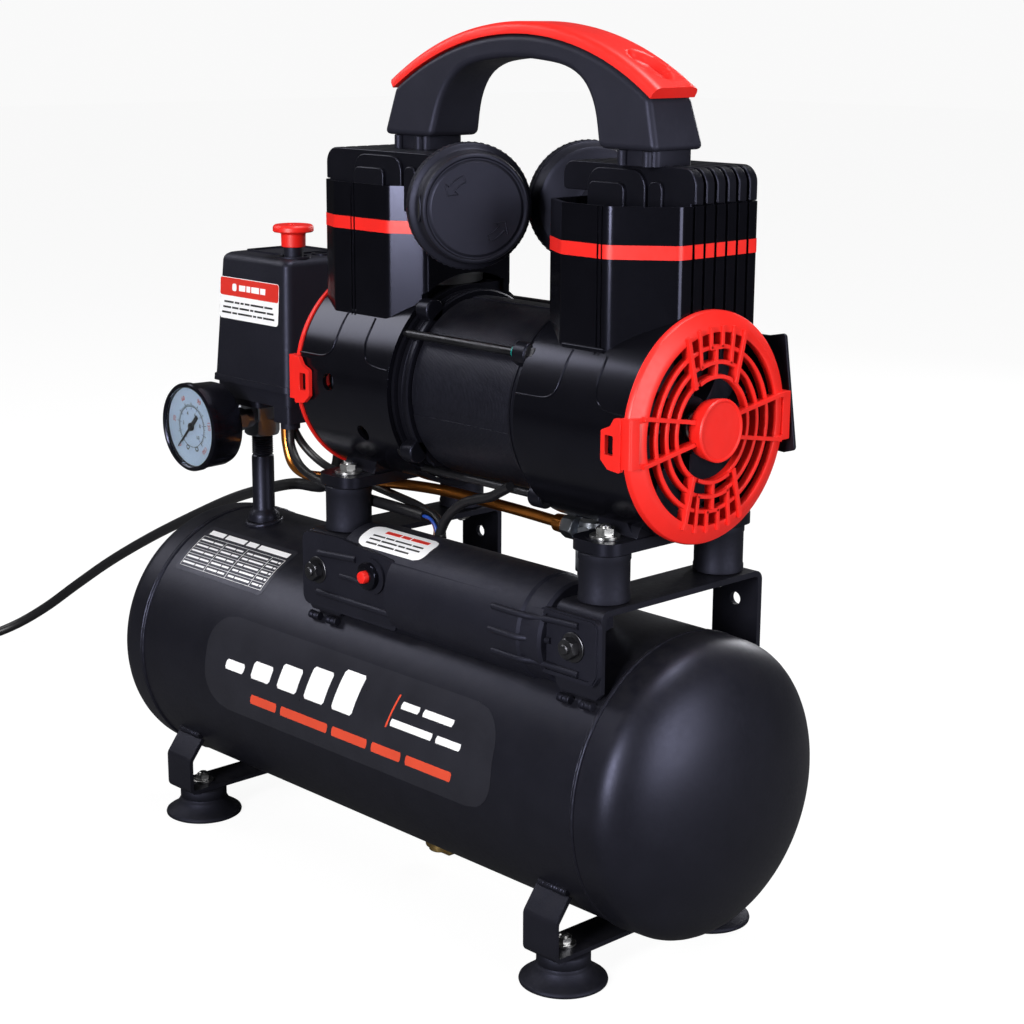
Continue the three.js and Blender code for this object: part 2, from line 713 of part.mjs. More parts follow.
// A barrel-shaped cover between the saddles, flat-fronted at its left end, with a bolted flange at each end.
function makeCapacitorCover() {
  const { y, z, radius, x0, x1, flatY, flatEndX } = COVER;
  const wall = 2;
  const flangeBack = -SADDLE.halfSpan - GAP;
  const rightX = MOTOR.x + POST.s;
  const leftX = MOTOR.x - POST.s;
  const shell = carve(
    [rod('x', radius, x0, x1, [0, y, z], 28)],
    [
      rod('x', radius - wall, x0 + wall, x1 - wall, [0, y, z], 24),
      rod('x', TANK.radius + 0.6, x0 - 1, x1 + 1, [0, 0, TANK.axisZ], 72),
      box(x0 - 1, flatEndX, -90, flatY, 140, 215),
    ],
  );
  const step = carve(
    [rod('x', radius, flatEndX - wall, flatEndX + GAP, [0, y, z], 28)],
    [box(0, 60, flangeBack, 0, 130, 215), box(0, 60, -90, 0, 130, 156)],
  );
  const ribs = [-1, 0, 1].map((row) => box(128, rightX + 8, flatY - 2.5, flatY + 1, z + row * 11 - 1, z + row * 11 + 1));
  return carve(
    [
      shell,
      step,
      box(leftX - 15, flatEndX, flatY, flangeBack, 157, 195),
      box(x1 - 7, rightX + 14, flatY, flangeBack, 161, 193),
      ...ribs,
    ],
    [
      rod('y', 3.2, -70, -50, [leftX - 2, 0, 178], 12),
      rod('y', 3.2, -70, -50, [rightX - 2, 0, 178], 12),
      rod('y', 5.6, -70, -50, [RESET.x, 0, RESET.z], 16),
    ],
  );
}

function makeCapacitor() {
  return carve([
    rod('x', 15, 42, 118, [0, -46, 183.5], 20),
    rod('x', 2.5, 35, 43, [0, -50, 186], 8),
    rod('x', 2.5, 35, 43, [0, -41, 181], 8),
  ]);
}

function makeOverloadProtector() {
  const back = -SADDLE.halfSpan + GAP;
  const profile = [
    [-66.5, 3.7],
    [-66.5, 6.6],
    [-65.5, 7.6],
    [COVER.flatY - GAP, 7.6],
    [COVER.flatY - GAP, 5.2],
    [back, 5.2],
    [back, 8],
    [-44, 8],
    [-44, 0],
    [-55, 0],
    [-55, 3.7],
    [-66.5, 3.7],
  ];
  return turned('y', profile, [RESET.x, 0, RESET.z], 16);
}

function makeResetButton() {
  return rod('y', 3.3, -69.5, -58.5, [RESET.x, 0, RESET.z], 16);
}

// ---------------------------------------------------------------- mains lead

const CORD_EXIT = [-104, 14, 226];
const COIL_HALF_WIDTH = (COIL.turnsWide * CORD.diameter) / 2;
const COIL_HEIGHT = COIL.turnsHigh * CORD.diameter;
const COIL_OUTER = COIL.middleRadius + COIL_HALF_WIDTH;
const PLUG_TAIL_RADIUS = 4.6;
const COIL_REACH = Math.sqrt(COIL_OUTER ** 2 - (COIL.middleRadius - PLUG_TAIL_RADIUS) ** 2) + GAP;

// From the strain relief, over the tank's shoulder and down to the floor, then along it to the coil.
const CORD_ROUTE = [
  CORD_EXIT,
  [-104.1, 14, 222],
  [-106.4, 14.3, 213.8],
  [-113.4, 15.2, 203.4],
  [-123.8, 17, 196.4],
  [-136, 19.3, 193.8],
  [-160, 24.5, 190.5],
  [-192, 32, 182],
  [-245, 42, 165.5],
  [-300, 50, 144],
  [-376, 59, 115],
  [-443, 62, 83],
  [-497, 62, 50],
  [-527, 58, 26],
  [-545, 47, 10],
  [-551, 32, 4],
  [-552, 12, 3.6],
  [-554, -10, 3.6],
  [COIL.x - COIL.middleRadius, -30, 3.6],
  [COIL.x - COIL.middleRadius, COIL.y + COIL_REACH, 3.6],
];

function makeStrainRelief() {
  const [x, y, exitZ] = CORD_EXIT;
  const profile = [
    [exitZ + GAP, 0],
    [exitZ + GAP, 4.6],
    [243, 6.4],
    [243, 8],
    [251.7, 8],
    [251.7, 0],
  ];
  return turned('z', profile, [x, y, 0], 16);
}

function makeCordCoil() {
  const inner = COIL.middleRadius - COIL_HALF_WIDTH;
  return ring('z', inner, COIL_OUTER, 0, COIL_HEIGHT, [COIL.x, COIL.y, 0], 28);
}

// A moulded plug with two round pins, lying beside the coil in line with its last turn.
function makePlug() {
  const profile = [
    [0, 0],
    [0, PLUG_TAIL_RADIUS],
    [22, 6.5],
    [24, 11],
    [36, 17.2],
    [50, 17.2],
    [50, 0],
  ];
  const pins = [-9.5, 9.5].map((offset) => rod('y', 2.4, 49, 69, [offset, 0, 0], 8));
  const plug = carve([turned('y', profile, [0, 0, 0], 16), ...pins]);
  return plug.rotateZ(Math.PI).translate(COIL.x - COIL.middleRadius, COIL.y - COIL_REACH, 17.5);
}

// ---------------------------------------------------------------- assembly

const compressor = new THREE.Group();
const C = COLOURS;

compressor.add(
  piece('tank', makeTank(), C.satinBlack),
  piece('drain_cock', makeDrainCock(), C.brass),
);

for (const [hand, side] of [['right', 1], ['left', -1]]) {
  compressor.add(
    piece(`foot_strap_${hand}`, makeFootStrap(side * FOOT.x), C.satinBlack),
    piece(`motor_saddle_${hand}`, makeSaddle(MOTOR.x + side * POST.s), C.satinBlack),
  );
  for (const [row, rowSide] of [['front', -1], ['rear', 1]]) {
    compressor.add(
      piece(`rubber_foot_${row}_${hand}`, makeFoot(side * FOOT.x, rowSide * FOOT.y), C.rubber),
      piece(`rubber_mount_${row}_${hand}`, makeRubberMount(MOTOR.x + side * POST.s, rowSide * POST.y), C.rubber),
    );
  }

  // The left-hand unit is the right-hand one turned half a turn about the middle of the motor.
  const unit = new THREE.Group();
  unit.position.x = MOTOR.x;
  unit.rotation.z = side > 0 ? 0 : Math.PI;
  unit.add(
    piece(`crankcase_${hand}`, makeCrankcase(), C.aluminium),
    piece(`cylinder_sleeve_${hand}`, makeSleeve(), C.aluminium),
    piece(`cylinder_head_${hand}`, makeHead(), C.satinBlack),
    piece(`shroud_${hand}`, makeShroud(), C.glossBlack),
    piece(`fan_guard_${hand}`, makeGuard(), C.red),
    piece(`air_filter_base_${hand}`, makeFilterBase(), C.plasticBlack),
    piece(`air_filter_cap_${hand}`, makeFilterCap(), C.plasticBlack),
  );
  compressor.add(unit);
}

const motor = new THREE.Group();
motor.position.x = MOTOR.x;
motor.add(
  piece('stator', ring('x', STATOR.inner, STATOR.outer, -STATOR.half, STATOR.half, [0, 0, MOTOR.z], 28), C.laminations),
  piece('rotor_shaft', makeShaft(), C.steel),
  piece('rotor_core', makeRotorCore(), C.laminations),
);
for (const [hand, side] of Object.entries(CRANK_SIGNS)) {
  motor.add(
    piece(`crank_disc_${hand}`, makeEccentric(side), C.steel),
    piece(`piston_rod_${hand}`, makePistonRod(side), C.aluminium),
    piece(`cooling_fan_${hand}`, makeFan(side), C.plasticBlack),
  );
}
compressor.add(motor);

compressor.add(
  piece('handle_body', makeHandleBody(), C.plasticBlack),
  piece('handle_grip_cover', makeGripCover(), C.red),
  piece('riser_pipe', makeRiser(), C.satinBlack),
  piece('port_manifold', makeManifold(), C.steel),
  piece('gauge_case', makeGaugeCase(), C.plasticBlack),
  piece('gauge_needle', makeNeedle(), C.satinBlack),
  piece('safety_valve', makeSafetyValve(), C.brass),
  piece('safety_valve_ring', makeSafetyRing(), C.steel),
  piece('outlet_coupler', makeCoupler(), C.steel),
  piece('coupler_sleeve', makeCouplerSleeve(), C.steel),
  piece('switch_cover', makeSwitchCover(), C.plasticBlack),
  piece('switch_base', makeSwitchBase(), C.plasticBlack),
  piece('switch_knob', makeKnob(), C.red),
  piece('check_valve', makeCheckValve(), C.steel),
  piece('unloader_tube', makeUnloaderTube(), C.copper),
  piece('capacitor_cover', makeCapacitorCover(), C.plasticBlack),
  piece('capacitor', makeCapacitor(), C.seal),
  piece('overload_protector', makeOverloadProtector(), C.plasticBlack),
  piece('overload_button', makeResetButton(), C.red),
  piece('cord_strain_relief', makeStrainRelief(), C.rubber),
  piece('cord', tube(CORD_ROUTE, CORD.diameter / 2, 38), C.rubber),
  piece('cord_coil', makeCordCoil(), C.rubber),
  piece('plug', makePlug(), C.rubber),
);

export default compressor;
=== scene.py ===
"""Oil-free twin-cylinder air compressor on a horizontal tank, drawn over its CAD frame.

Every size is in millimetres until a mesh is made. +X runs along the tank, -Y is the front, +Z is up.
"""

import math

import bmesh
import bpy
from mathutils import Matrix, Vector, noise


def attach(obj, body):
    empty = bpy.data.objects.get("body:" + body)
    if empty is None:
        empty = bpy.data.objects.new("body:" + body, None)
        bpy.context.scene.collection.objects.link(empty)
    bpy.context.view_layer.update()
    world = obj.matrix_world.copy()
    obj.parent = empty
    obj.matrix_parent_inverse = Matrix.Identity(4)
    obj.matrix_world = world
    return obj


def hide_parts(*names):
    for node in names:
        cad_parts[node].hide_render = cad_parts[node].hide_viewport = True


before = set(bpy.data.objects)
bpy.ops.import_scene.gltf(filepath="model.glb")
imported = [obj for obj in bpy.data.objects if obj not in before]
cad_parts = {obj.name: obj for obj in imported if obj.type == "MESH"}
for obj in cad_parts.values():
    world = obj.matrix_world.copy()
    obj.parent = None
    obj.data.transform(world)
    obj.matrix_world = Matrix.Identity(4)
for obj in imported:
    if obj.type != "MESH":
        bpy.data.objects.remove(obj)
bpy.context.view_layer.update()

MM = 0.001

# ---------------------------------------------------------------- shapes
# A shape is (points, faces); points are Vectors in millimetres.


def polar(centre, radius, degrees):
    angle = math.radians(degrees)
    return (centre[0] + radius * math.cos(angle), centre[1] + radius * math.sin(angle))


def arc(centre, radius, start, end, steps):
    return [polar(centre, radius, start + (end - start) * i / steps) for i in range(steps + 1)]


def waves(count):
    """The cosine and sine of each angle round a full turn."""
    angles = [2 * math.pi * k / count for k in range(count)]
    return [(math.cos(a), math.sin(a)) for a in angles]


def placed(shape, matrix):
    points, faces = shape
    return [matrix @ point for point in points], faces


def all_placed(shapes, matrix):
    return [placed(shape, matrix) for shape in shapes]


def shifted(shape, x=0, y=0, z=0):
    return placed(shape, Matrix.Translation((x, y, z)))


def rotated(shape, axis, degrees, centre=(0, 0, 0)):
    move = Matrix.Translation(centre)
    return placed(shape, move @ Matrix.Rotation(math.radians(degrees), 4, axis) @ move.inverted())


def skin(rings, closed=False):
    """Joins rings of equal length; a ring of one point closes an end."""
    points, starts, faces = [], [], []
    for ring in rings:
        starts.append(len(points))
        points += [Vector(point) for point in ring]
    pairs = list(zip(range(len(rings)), range(1, len(rings))))
    if closed:
        pairs.append((len(rings) - 1, 0))
    for low, high in pairs:
        a, b = starts[low], starts[high]
        count = max(len(rings[low]), len(rings[high]))
        for i in range(count):
            j = (i + 1) % count
            if len(rings[low]) == 1:
                faces.append((a, b + i, b + j))
            elif len(rings[high]) == 1:
                faces.append((a + i, a + j, b))
            else:
                faces.append((a + i, a + j, b + j, b + i))
    if not closed:
        for ring, start in ((rings[0], starts[0]), (rings[-1], starts[-1])):
            if len(ring) > 1:
                faces.append(tuple(range(start, start + len(ring))))
    return points, faces


def on_axis(axis, along, a, b):
    """Axis x takes its plane as (y, z), y as (z, x) and z as (x, y)."""
    return {"x": (along, a, b), "y": (b, along, a), "z": (a, b, along)}[axis]


def turned(axis, profile, centre=(0, 0, 0), sides=64):
    """A solid of revolution; profile is a list of (along, radius)."""
    closed = profile[0] == profile[-1] and profile[0][1] > 0
    rings = []
    for along, radius in profile[: len(profile) - closed]:
        if radius < 1e-6:
            rings.append([on_axis(axis, along, 0, 0)])
        else:
            circle = [polar((0, 0), radius, 360 * i / sides) for i in range(sides)]
            rings.append([on_axis(axis, along, a, b) for a, b in circle])
    return shifted(skin(rings, closed), *centre)


def rod(axis, radius, start, end, centre=(0, 0, 0), sides=48, edge=0.0):
    profile = [(start, 0), (start, radius - edge), (start + edge, radius)]
    profile += [(end - edge, radius), (end, radius - edge), (end, 0)]
    if edge == 0:
        profile = [(start, 0), (start, radius), (end, radius), (end, 0)]
    return turned(axis, profile, centre, sides)


def hoop(axis, inner, outer, start, end, centre=(0, 0, 0), sides=96):
    profile = [(start, inner), (start, outer), (end, outer), (end, inner), (start, inner)]
    return turned(axis, profile, centre, sides)


def rect(a0, a1, b0, b1):
    return [(a0, b0), (a1, b0), (a1, b1), (a0, b1)]


def prism(axis, outline, start, end):
    return skin([[on_axis(axis, along, a, b) for a, b in outline] for along in (start, end)])


def block(x0, x1, y0, y1, z0, z1):
    return prism("z", rect(x0, x1, y0, y1), z0, z1)


def rounded(outline, radius, steps=5):
    """The outline with each corner rounded; radius is one number or one for each corner."""
    result = []
    count = len(outline)
    for i, corner in enumerate(outline):
        size = radius[i] if hasattr(radius, "__len__") else radius
        here = Vector(corner)
        before = Vector(outline[i - 1]) - here
        after = Vector(outline[(i + 1) % count]) - here
        turn = before.angle(after)
        if size <= 0 or turn > math.radians(178):
            result.append(tuple(corner))
            continue
        cut = min(size / math.tan(turn / 2), before.length * 0.49, after.length * 0.49)
        size = cut * math.tan(turn / 2)
        middle = here + (before.normalized() + after.normalized()).normalized() * size / math.sin(turn / 2)
        first = here + before.normalized() * cut - middle
        last = here + after.normalized() * cut - middle
        sweep = first.angle_signed(last)
        for k in range(steps + 1):
            spoke = first.copy()
            spoke.rotate(Matrix.Rotation(-sweep * k / steps, 2))
            result.append(tuple(middle + spoke))
    return result


def smooth_path(points, per_span=8, closed=False):
    """A Catmull-Rom curve through the points."""
    knots = [Vector(point) for point in points]
    if closed:
        padded = [knots[-1], *knots, knots[0], knots[1]]
    else:
        padded = [knots[0] * 2 - knots[1], *knots, knots[-1] * 2 - knots[-2]]
    path = []
    for a, b, c, d in zip(padded, padded[1:], padded[2:], padded[3:]):
        for k in range(per_span):
            t = k / per_span
            path.append(
                0.5 * (2 * b + (c - a) * t + (2 * a - 5 * b + 4 * c - d) * t * t
                       + (3 * b - a - 3 * c + d) * t ** 3)
            )
    if not closed:
        path.append(knots[-1])
    return path


def sweep(path, radius, sides=20, closed=False, flat=1.0):
    """A tube along a path of points; radius is one number or a function of the share of the way."""
    count = len(path)
    rings = []
    normal = None
    for i, point in enumerate(path):
        ahead = path[(i + 1) % count] if closed or i < count - 1 else point
        behind = path[i - 1] if closed or i > 0 else point
        along = (ahead - behind).normalized()
        if normal is None:
            helper = Vector((0, 0, 1)) if abs(along.z) < 0.9 else Vector((0, 1, 0))
            normal = along.cross(helper).normalized()
        normal = (normal - along * normal.dot(along)).normalized()
        side = along.cross(normal)
        size = radius(i / (count - 1)) if callable(radius) else radius
        ring = []
        for k in range(sides):
            angle = 2 * math.pi * k / sides
            ring.append(point + normal * size * math.cos(angle) + side * size * flat * math.sin(angle))
        rings.append(ring)
    return skin(rings, closed)


def wire(points, radius, per_span=8, sides=16):
    return sweep(smooth_path(points, per_span), radius, sides)


def hexagon(axis, across, start, end, centre=(0, 0, 0), turn=0):
    """A six-sided nut or head with its corners turned down at both ends."""
    corner = across / math.sqrt(3)
    nut = rod(axis, corner, start, end, (0, 0, 0), 6)
    chamfer = (end - start) * 0.16
    cone = turned(axis, [(start, 0), (start, across / 2), (start + chamfer, corner + 0.01),
                         (end - chamfer, corner + 0.01), (end, across / 2), (end, 0)], (0, 0, 0), 48)
    return shifted(rotated(common(nut, cone), axis.upper(), turn), *centre)


def bolt(axis, centre, across=8.0, height=4.5, washer=6.5, sign=1, turn=10):
    """A hexagon head with a washer and a short threaded tip, standing along +axis or -axis."""
    parts = [
        turned(axis, [(0, 0), (0, washer), (0.9, washer), (1.1, washer - 0.3), (1.1, 0)]),
        hexagon(axis, across, 1.1, 1.1 + height, turn=turn),
        turned(axis, [(height, 0), (height, 2.6), (height + 2.0, 2.6), (height + 2.5, 2.0),
                      (height + 2.5, 0)]),
    ]
    result = []
    for part in parts:
        if sign < 0:
            flip = {"x": "Y", "y": "Z", "z": "X"}[axis]
            part = rotated(part, flip, 180)
        result.append(shifted(part, *centre))
    return result


def weld(path, width=2.4, closed=False):
    """A bead with the ripples of a hand weld."""
    count = len(path)

    def size(share):
        ripple = 0.10 * math.sin(share * count * 1.9)
        wander = 0.16 * noise.noise(Vector((share * 23.0, count * 0.1, 0.5)))
        return width * (1 + ripple + wander)

    return sweep(path, size, 10, closed)


# ---------------------------------------------------------------- meshes, joined and cut solids


def add_object(name, data):
    obj = bpy.data.objects.new(name, data)
    bpy.context.scene.collection.objects.link(obj)
    return obj


def to_mesh(name, shapes):
    points, faces = [], []
    for shape_points, shape_faces in shapes:
        start = len(points)
        points += [point * MM for point in shape_points]
        faces += [tuple(start + i for i in face) for face in shape_faces]
    mesh = bpy.data.meshes.new(name)
    mesh.from_pydata(points, [], faces)
    made = bmesh.new()
    made.from_mesh(mesh)
    bmesh.ops.remove_doubles(made, verts=made.verts, dist=1e-7)
    bmesh.ops.recalc_face_normals(made, faces=made.faces)
    made.to_mesh(mesh)
    made.free()
    return mesh


def boolean(first, second, operation):
    """One exact solid operation on two shapes."""
    objects = [add_object("solid", to_mesh("solid", [shape])) for shape in (first, second)]
    modifier = objects[0].modifiers.new("operation", "BOOLEAN")
    modifier.operation = operation
    modifier.object = objects[1]
    modifier.solver = "MANIFOLD"
    shown = objects[0].evaluated_get(bpy.context.evaluated_depsgraph_get())
    mesh = shown.to_mesh()
    points = [vertex.co / MM for vertex in mesh.vertices]
    faces = [tuple(polygon.vertices) for polygon in mesh.polygons]
    shown.to_mesh_clear()
    for obj in objects:
        bpy.data.objects.remove(obj)
    return points, faces


def common(first, second):
    return boolean(first, second, "INTERSECT")


def carve(joined, removed=()):
    """Joins the first shapes and cuts the others out of them."""
    whole = joined[0]
    for shape in joined[1:]:
        whole = boolean(whole, shape, "UNION")
    for shape in removed:
        whole = boolean(whole, shape, "DIFFERENCE")
    return whole


def piece(name, shapes, kind, body="frame", bevel=0.0, replaces=(), slot=None, smooth=32, segments=3):
    """Makes one piece of the visual model out of shapes; kind names its finish."""
    mesh = to_mesh(name, shapes)
    made = bmesh.new()
    made.from_mesh(mesh)
    bmesh.ops.dissolve_limit(made, angle_limit=math.radians(0.4), verts=made.verts, edges=made.edges)
    made.to_mesh(mesh)
    made.free()
    mesh.shade_smooth()
    mesh.set_sharp_from_angle(angle=math.radians(smooth))
    mesh.materials.append(M[kind])
    obj = add_object(name, mesh)
    if bevel:
        rounding = obj.modifiers.new("rounded edges", "BEVEL")
        rounding.width = bevel * MM
        rounding.segments = segments
        rounding.limit_method = "ANGLE"
        rounding.angle_limit = math.radians(smooth)
        rounding.harden_normals = True
    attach(obj, body)
    if replaces:
        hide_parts(*replaces)
    slot = slot or SLOTS.get(kind)
    return obj


# ---------------------------------------------------------------- materials


COOL = (0.65, 0.67, 1.0)  # the shine of the black paint and plastic is slightly blue
PLAIN = (1.0, 1.0, 1.0)
COOL_SHINE, PLAIN_SHINE = 0.36, 0.5
DUST_COLOUR = (0.20, 0.19, 0.18)
# sizes of the finishes' patches in millimetres
TONE_PATCH, DUST_PATCH, WIDE_PATCH, NARROW_PATCH = 18, 7, 35, 2.5
BANDS_PER_UNIT = 0.314  # the wave texture's scale for one band to a unit of length


def set_inputs(tree, node, values):
    """A value that is a socket is linked and any other is set."""
    for key, value in values.items():
        if isinstance(value, bpy.types.NodeSocket):
            tree.links.new(value, node.inputs[key])
        else:
            node.inputs[key].default_value = value


def add_node(tree, kind, values, **settings):
    node = tree.nodes.new(kind)
    for key, value in settings.items():
        setattr(node, key, value)
    set_inputs(tree, node, values)
    return node


def finish(name, colour, rough, metallic=0.0, grain=0.5, bump=0.1, uneven=0.10,
           mottle=0.12, bands=None, dust=0.03, gloss=PLAIN):
    """A procedural finish: grain is the size of its texture in millimetres and bump its height.

    bands is (axis, pitch in millimetres, height) for a laminated, brushed or knurled surface.
    """
    material = bpy.data.materials.new(name)
    material.use_nodes = True
    tree = material.node_tree
    shader = tree.nodes["Principled BSDF"]
    place = tree.nodes.new("ShaderNodeTexCoord").outputs["Object"]

    def speckle(size, detail=4.0):
        values = {"Scale": 1 / (size * MM), "Detail": detail, "Vector": place}
        return add_node(tree, "ShaderNodeTexNoise", values).outputs["Fac"]

    def ranged(source, low, high, bottom=0.3, top=0.7):
        values = {"From Min": bottom, "From Max": top, "To Min": low, "To Max": high, "Value": source}
        return add_node(tree, "ShaderNodeMapRange", values).outputs["Result"]

    def blended(factor, low, high):
        return add_node(tree, "ShaderNodeMix", {0: factor, 6: low, 7: high}, data_type="RGBA").outputs[2]

    def calculated(operation, first, second, clamped=False):
        made = add_node(tree, "ShaderNodeMath", {0: first, 1: second}, operation=operation,
                        use_clamp=clamped)
        return made.outputs["Value"]

    def raised(height, distance, below=None):
        values = {"Strength": 1.0, "Distance": distance * MM, "Height": height}
        if below:
            values["Normal"] = below
        return add_node(tree, "ShaderNodeBump", values).outputs["Normal"]

    dark = [channel * (1 - mottle) for channel in colour]
    light = [min(1, channel * (1 + mottle)) for channel in colour]
    base = blended(ranged(speckle(TONE_PATCH), 0, 1), (*dark, 1), (*light, 1))
    if dust:
        normal = tree.nodes.new("ShaderNodeNewGeometry").outputs["Normal"]
        parts = add_node(tree, "ShaderNodeSeparateXYZ", {"Vector": normal})
        upward = ranged(parts.outputs["Z"], 0, dust, 0.2, 1.0)
        patches = ranged(speckle(DUST_PATCH, 8.0), 0, 1, 0.35, 0.7)
        base = blended(calculated("MULTIPLY", upward, patches), base, (*DUST_COLOUR, 1))
    wide = ranged(speckle(WIDE_PATCH), rough - uneven, rough)
    narrow = ranged(speckle(NARROW_PATCH), 0, uneven)
    relief = raised(speckle(grain, 3.0), bump)
    if bands:
        axis, pitch, height = bands
        values = {"Scale": BANDS_PER_UNIT / (pitch * MM), "Distortion": 0.4, "Vector": place}
        wave = add_node(tree, "ShaderNodeTexWave", values, wave_type="BANDS", bands_direction=axis)
        relief = raised(wave.outputs["Fac"], height, relief)
    set_inputs(tree, shader, {
        "Base Color": base,
        "Metallic": metallic,
        "Roughness": calculated("ADD", wide, narrow, clamped=True),
        "Specular Tint": (*gloss, 1),
        "Specular IOR Level": COOL_SHINE if gloss == COOL else PLAIN_SHINE,
        "Normal": relief,
    })
    return material


def black(name, colour, rough, **options):
    return finish(name, colour, rough, gloss=COOL, **options)


def metal(name, colour, rough, **options):
    return finish(name, colour, rough, metallic=1, **options)


def clean(name, colour, rough, **options):
    return finish(name, colour, rough, dust=0, **options)


M = {
    "tank": black("tank powder coat", (0.0065, 0.0065, 0.0095), 0.40, grain=1.6, bump=0.03, uneven=0.05),
    "frame": black("bracket powder coat", (0.007, 0.007, 0.010), 0.42, grain=1.2, bump=0.04, uneven=0.07),
    "head": black("head casting paint", (0.004, 0.004, 0.006), 0.34, grain=1.2, bump=0.010, uneven=0.03,
                  dust=0.004),
    "gloss": black("gloss black moulding", (0.003, 0.003, 0.0045), 0.19, grain=8.0, bump=0.006,
                   uneven=0.015, dust=0.004),
    "black": black("matt black plastic", (0.008, 0.008, 0.012), 0.48, grain=0.35, bump=0.04, uneven=0.08),
    "grip": black("dark handle plastic", (0.014, 0.014, 0.021), 0.46, grain=0.4, bump=0.05, uneven=0.07),
    "red": clean("red plastic", (0.80, 0.014, 0.009), 0.42, grain=0.6, bump=0.03, uneven=0.07, mottle=0.05),
    "rubber": black("rubber", (0.004, 0.004, 0.0055), 0.60, grain=0.5, bump=0.05, uneven=0.10, dust=0.02),
    "lead": finish("cable sheath", (0.007, 0.007, 0.009), 0.42, grain=1.0, bump=0.03, uneven=0.08),
    "cast": metal("cast aluminium", (0.42, 0.43, 0.45), 0.46, grain=0.7, bump=0.10, uneven=0.12),
    "stack": black("laminated core", (0.005, 0.005, 0.0075), 0.42, grain=0.5, bump=0.03,
                   bands=("X", 1.0, 0.07)),
    "steel": metal("ground steel", (0.55, 0.56, 0.58), 0.30, grain=0.6, bump=0.02, bands=("X", 0.5, 0.01)),
    "zinc": metal("dark zinc screw", (0.08, 0.08, 0.09), 0.38, grain=0.5, bump=0.03, uneven=0.12),
    "bright": metal("bright zinc screw", (0.50, 0.50, 0.50), 0.32, grain=0.5, bump=0.03, uneven=0.12),
    "nickel": metal("nickel fitting", (0.34, 0.36, 0.40), 0.34, grain=0.9, bump=0.04, uneven=0.10),
    "brass": metal("brass", (0.62, 0.43, 0.17), 0.34, grain=0.8, bump=0.03, uneven=0.12),
    "copper": metal("copper tube", (0.86, 0.30, 0.06), 0.30, grain=1.2, bump=0.004, uneven=0.03),
    "can": finish("capacitor case", (0.05, 0.055, 0.07), 0.40, grain=0.8, bump=0.03),
    "blue": clean("blue wire", (0.01, 0.05, 0.30), 0.40, grain=0.5, bump=0.02),
    "brown": clean("brown wire", (0.16, 0.05, 0.02), 0.40, grain=0.5, bump=0.02),
    "dial": clean("dial card", (0.60, 0.74, 0.92), 0.50, grain=0.3, bump=0.01, mottle=0.04),
    "ink": clean("black ink", (0.012, 0.012, 0.014), 0.45, grain=0.3, bump=0.01),
    "white": clean("white label", (0.92, 0.92, 0.94), 0.42, grain=0.4, bump=0.01, mottle=0.03),
    "label_red": clean("red label", (0.66, 0.03, 0.02), 0.40, grain=0.4, bump=0.01, mottle=0.05),
    "panel": black("dark label film", (0.017, 0.017, 0.022), 0.36, grain=1.0, bump=0.01, dust=0.02),
    "print_red": clean("red print", (0.70, 0.07, 0.03), 0.42, grain=0.4, bump=0.01, mottle=0.05),
    "dab": clean("paint dab", (0.0, 0.22, 0.20), 0.35, grain=0.8, bump=0.10),
    "dark": clean("shadowed inside", (0.002, 0.002, 0.0025), 0.7, grain=0.8, bump=0.05),
    "pin": metal("plug pin", (0.60, 0.58, 0.52), 0.28, grain=0.6, bump=0.02, uneven=0.08),
}


def clear_lens(name):
    material = finish(name, (0.95, 0.97, 0.99), 0.10, grain=3.0, bump=0.004, uneven=0.04, mottle=0.01,
                      dust=0)
    tree = material.node_tree
    set_inputs(tree, tree.nodes["Principled BSDF"], {"Transmission Weight": 1.0, "IOR": 1.45})
    return material


M["lens"] = clear_lens("gauge lens")

# the slot of a piece in each finish, where its maker gives no other
SLOTS = {
    "lead": "cord_rubber",
    "rubber": "rubber",
    "pin": "nickel_fittings",
    "tank": "tank_paint",
    "brass": "brass_fittings",
    "black": "black_plastic",
    "dark": "black_plastic",
    "stack": "laminations",
    "steel": "steel",
    "cast": "cast_aluminium",
    "grip": "handle_plastic",
    "red": "red_plastic",
    "gloss": "gloss_black_plastic",
    "nickel": "nickel_fittings",
    "bright": "steel",
    "copper": "copper",
    "zinc": "steel",
    "can": "capacitor_case",
    "frame": "frame_paint",
    "head": "head_paint",
    "dab": "steel",
}

# ---------------------------------------------------------------- camera, light and floor

CAMERA_AT = Vector((822.2, -729.0, 469.0))
CAMERA_TURN = 46.364
CAMERA_DOWN = 13.506
CAMERA_ROLL = 0.341
LENS = 72.32

# name, place in metres, width, height and power in watts; all of them aim at the object's middle
SOFT_BOXES = [
    ("front", (0.48, -1.56, 0.62), 0.35, 0.80, 30),
    ("right", (1.60, 0.10, 0.52), 0.85, 0.85, 18),
    ("left", (-1.25, -0.55, 1.15), 0.60, 0.70, 6),
    ("top", (0.30, 0.25, 1.90), 0.60, 0.60, 20),
    ("behind", (-0.30, 1.60, 0.80), 0.60, 0.60, 9),
]
AIM = (0.0, 0.0, 0.24)
WHITE = (1.0, 1.0, 1.0, 1.0)
WORLD_LIGHT, WORLD_SEEN = 0.06, 0.95
FLOOR_COLOUR, FLOOR_SEEN = 0.10, 0.93
FLOOR_HALF = 9000


def make_camera():
    data = bpy.data.cameras.new("camera")
    data.lens = LENS
    data.sensor_width = 36
    data.clip_start = 0.05
    data.clip_end = 30
    camera = add_object("camera", data)
    turn = Matrix.Rotation(math.radians(CAMERA_TURN), 4, "Z")
    tilt = Matrix.Rotation(math.radians(90 - CAMERA_DOWN), 4, "X")
    roll = Matrix.Rotation(math.radians(CAMERA_ROLL), 4, "Z")
    camera.matrix_world = Matrix.Translation(CAMERA_AT * MM) @ turn @ tilt @ roll
    bpy.context.scene.camera = camera


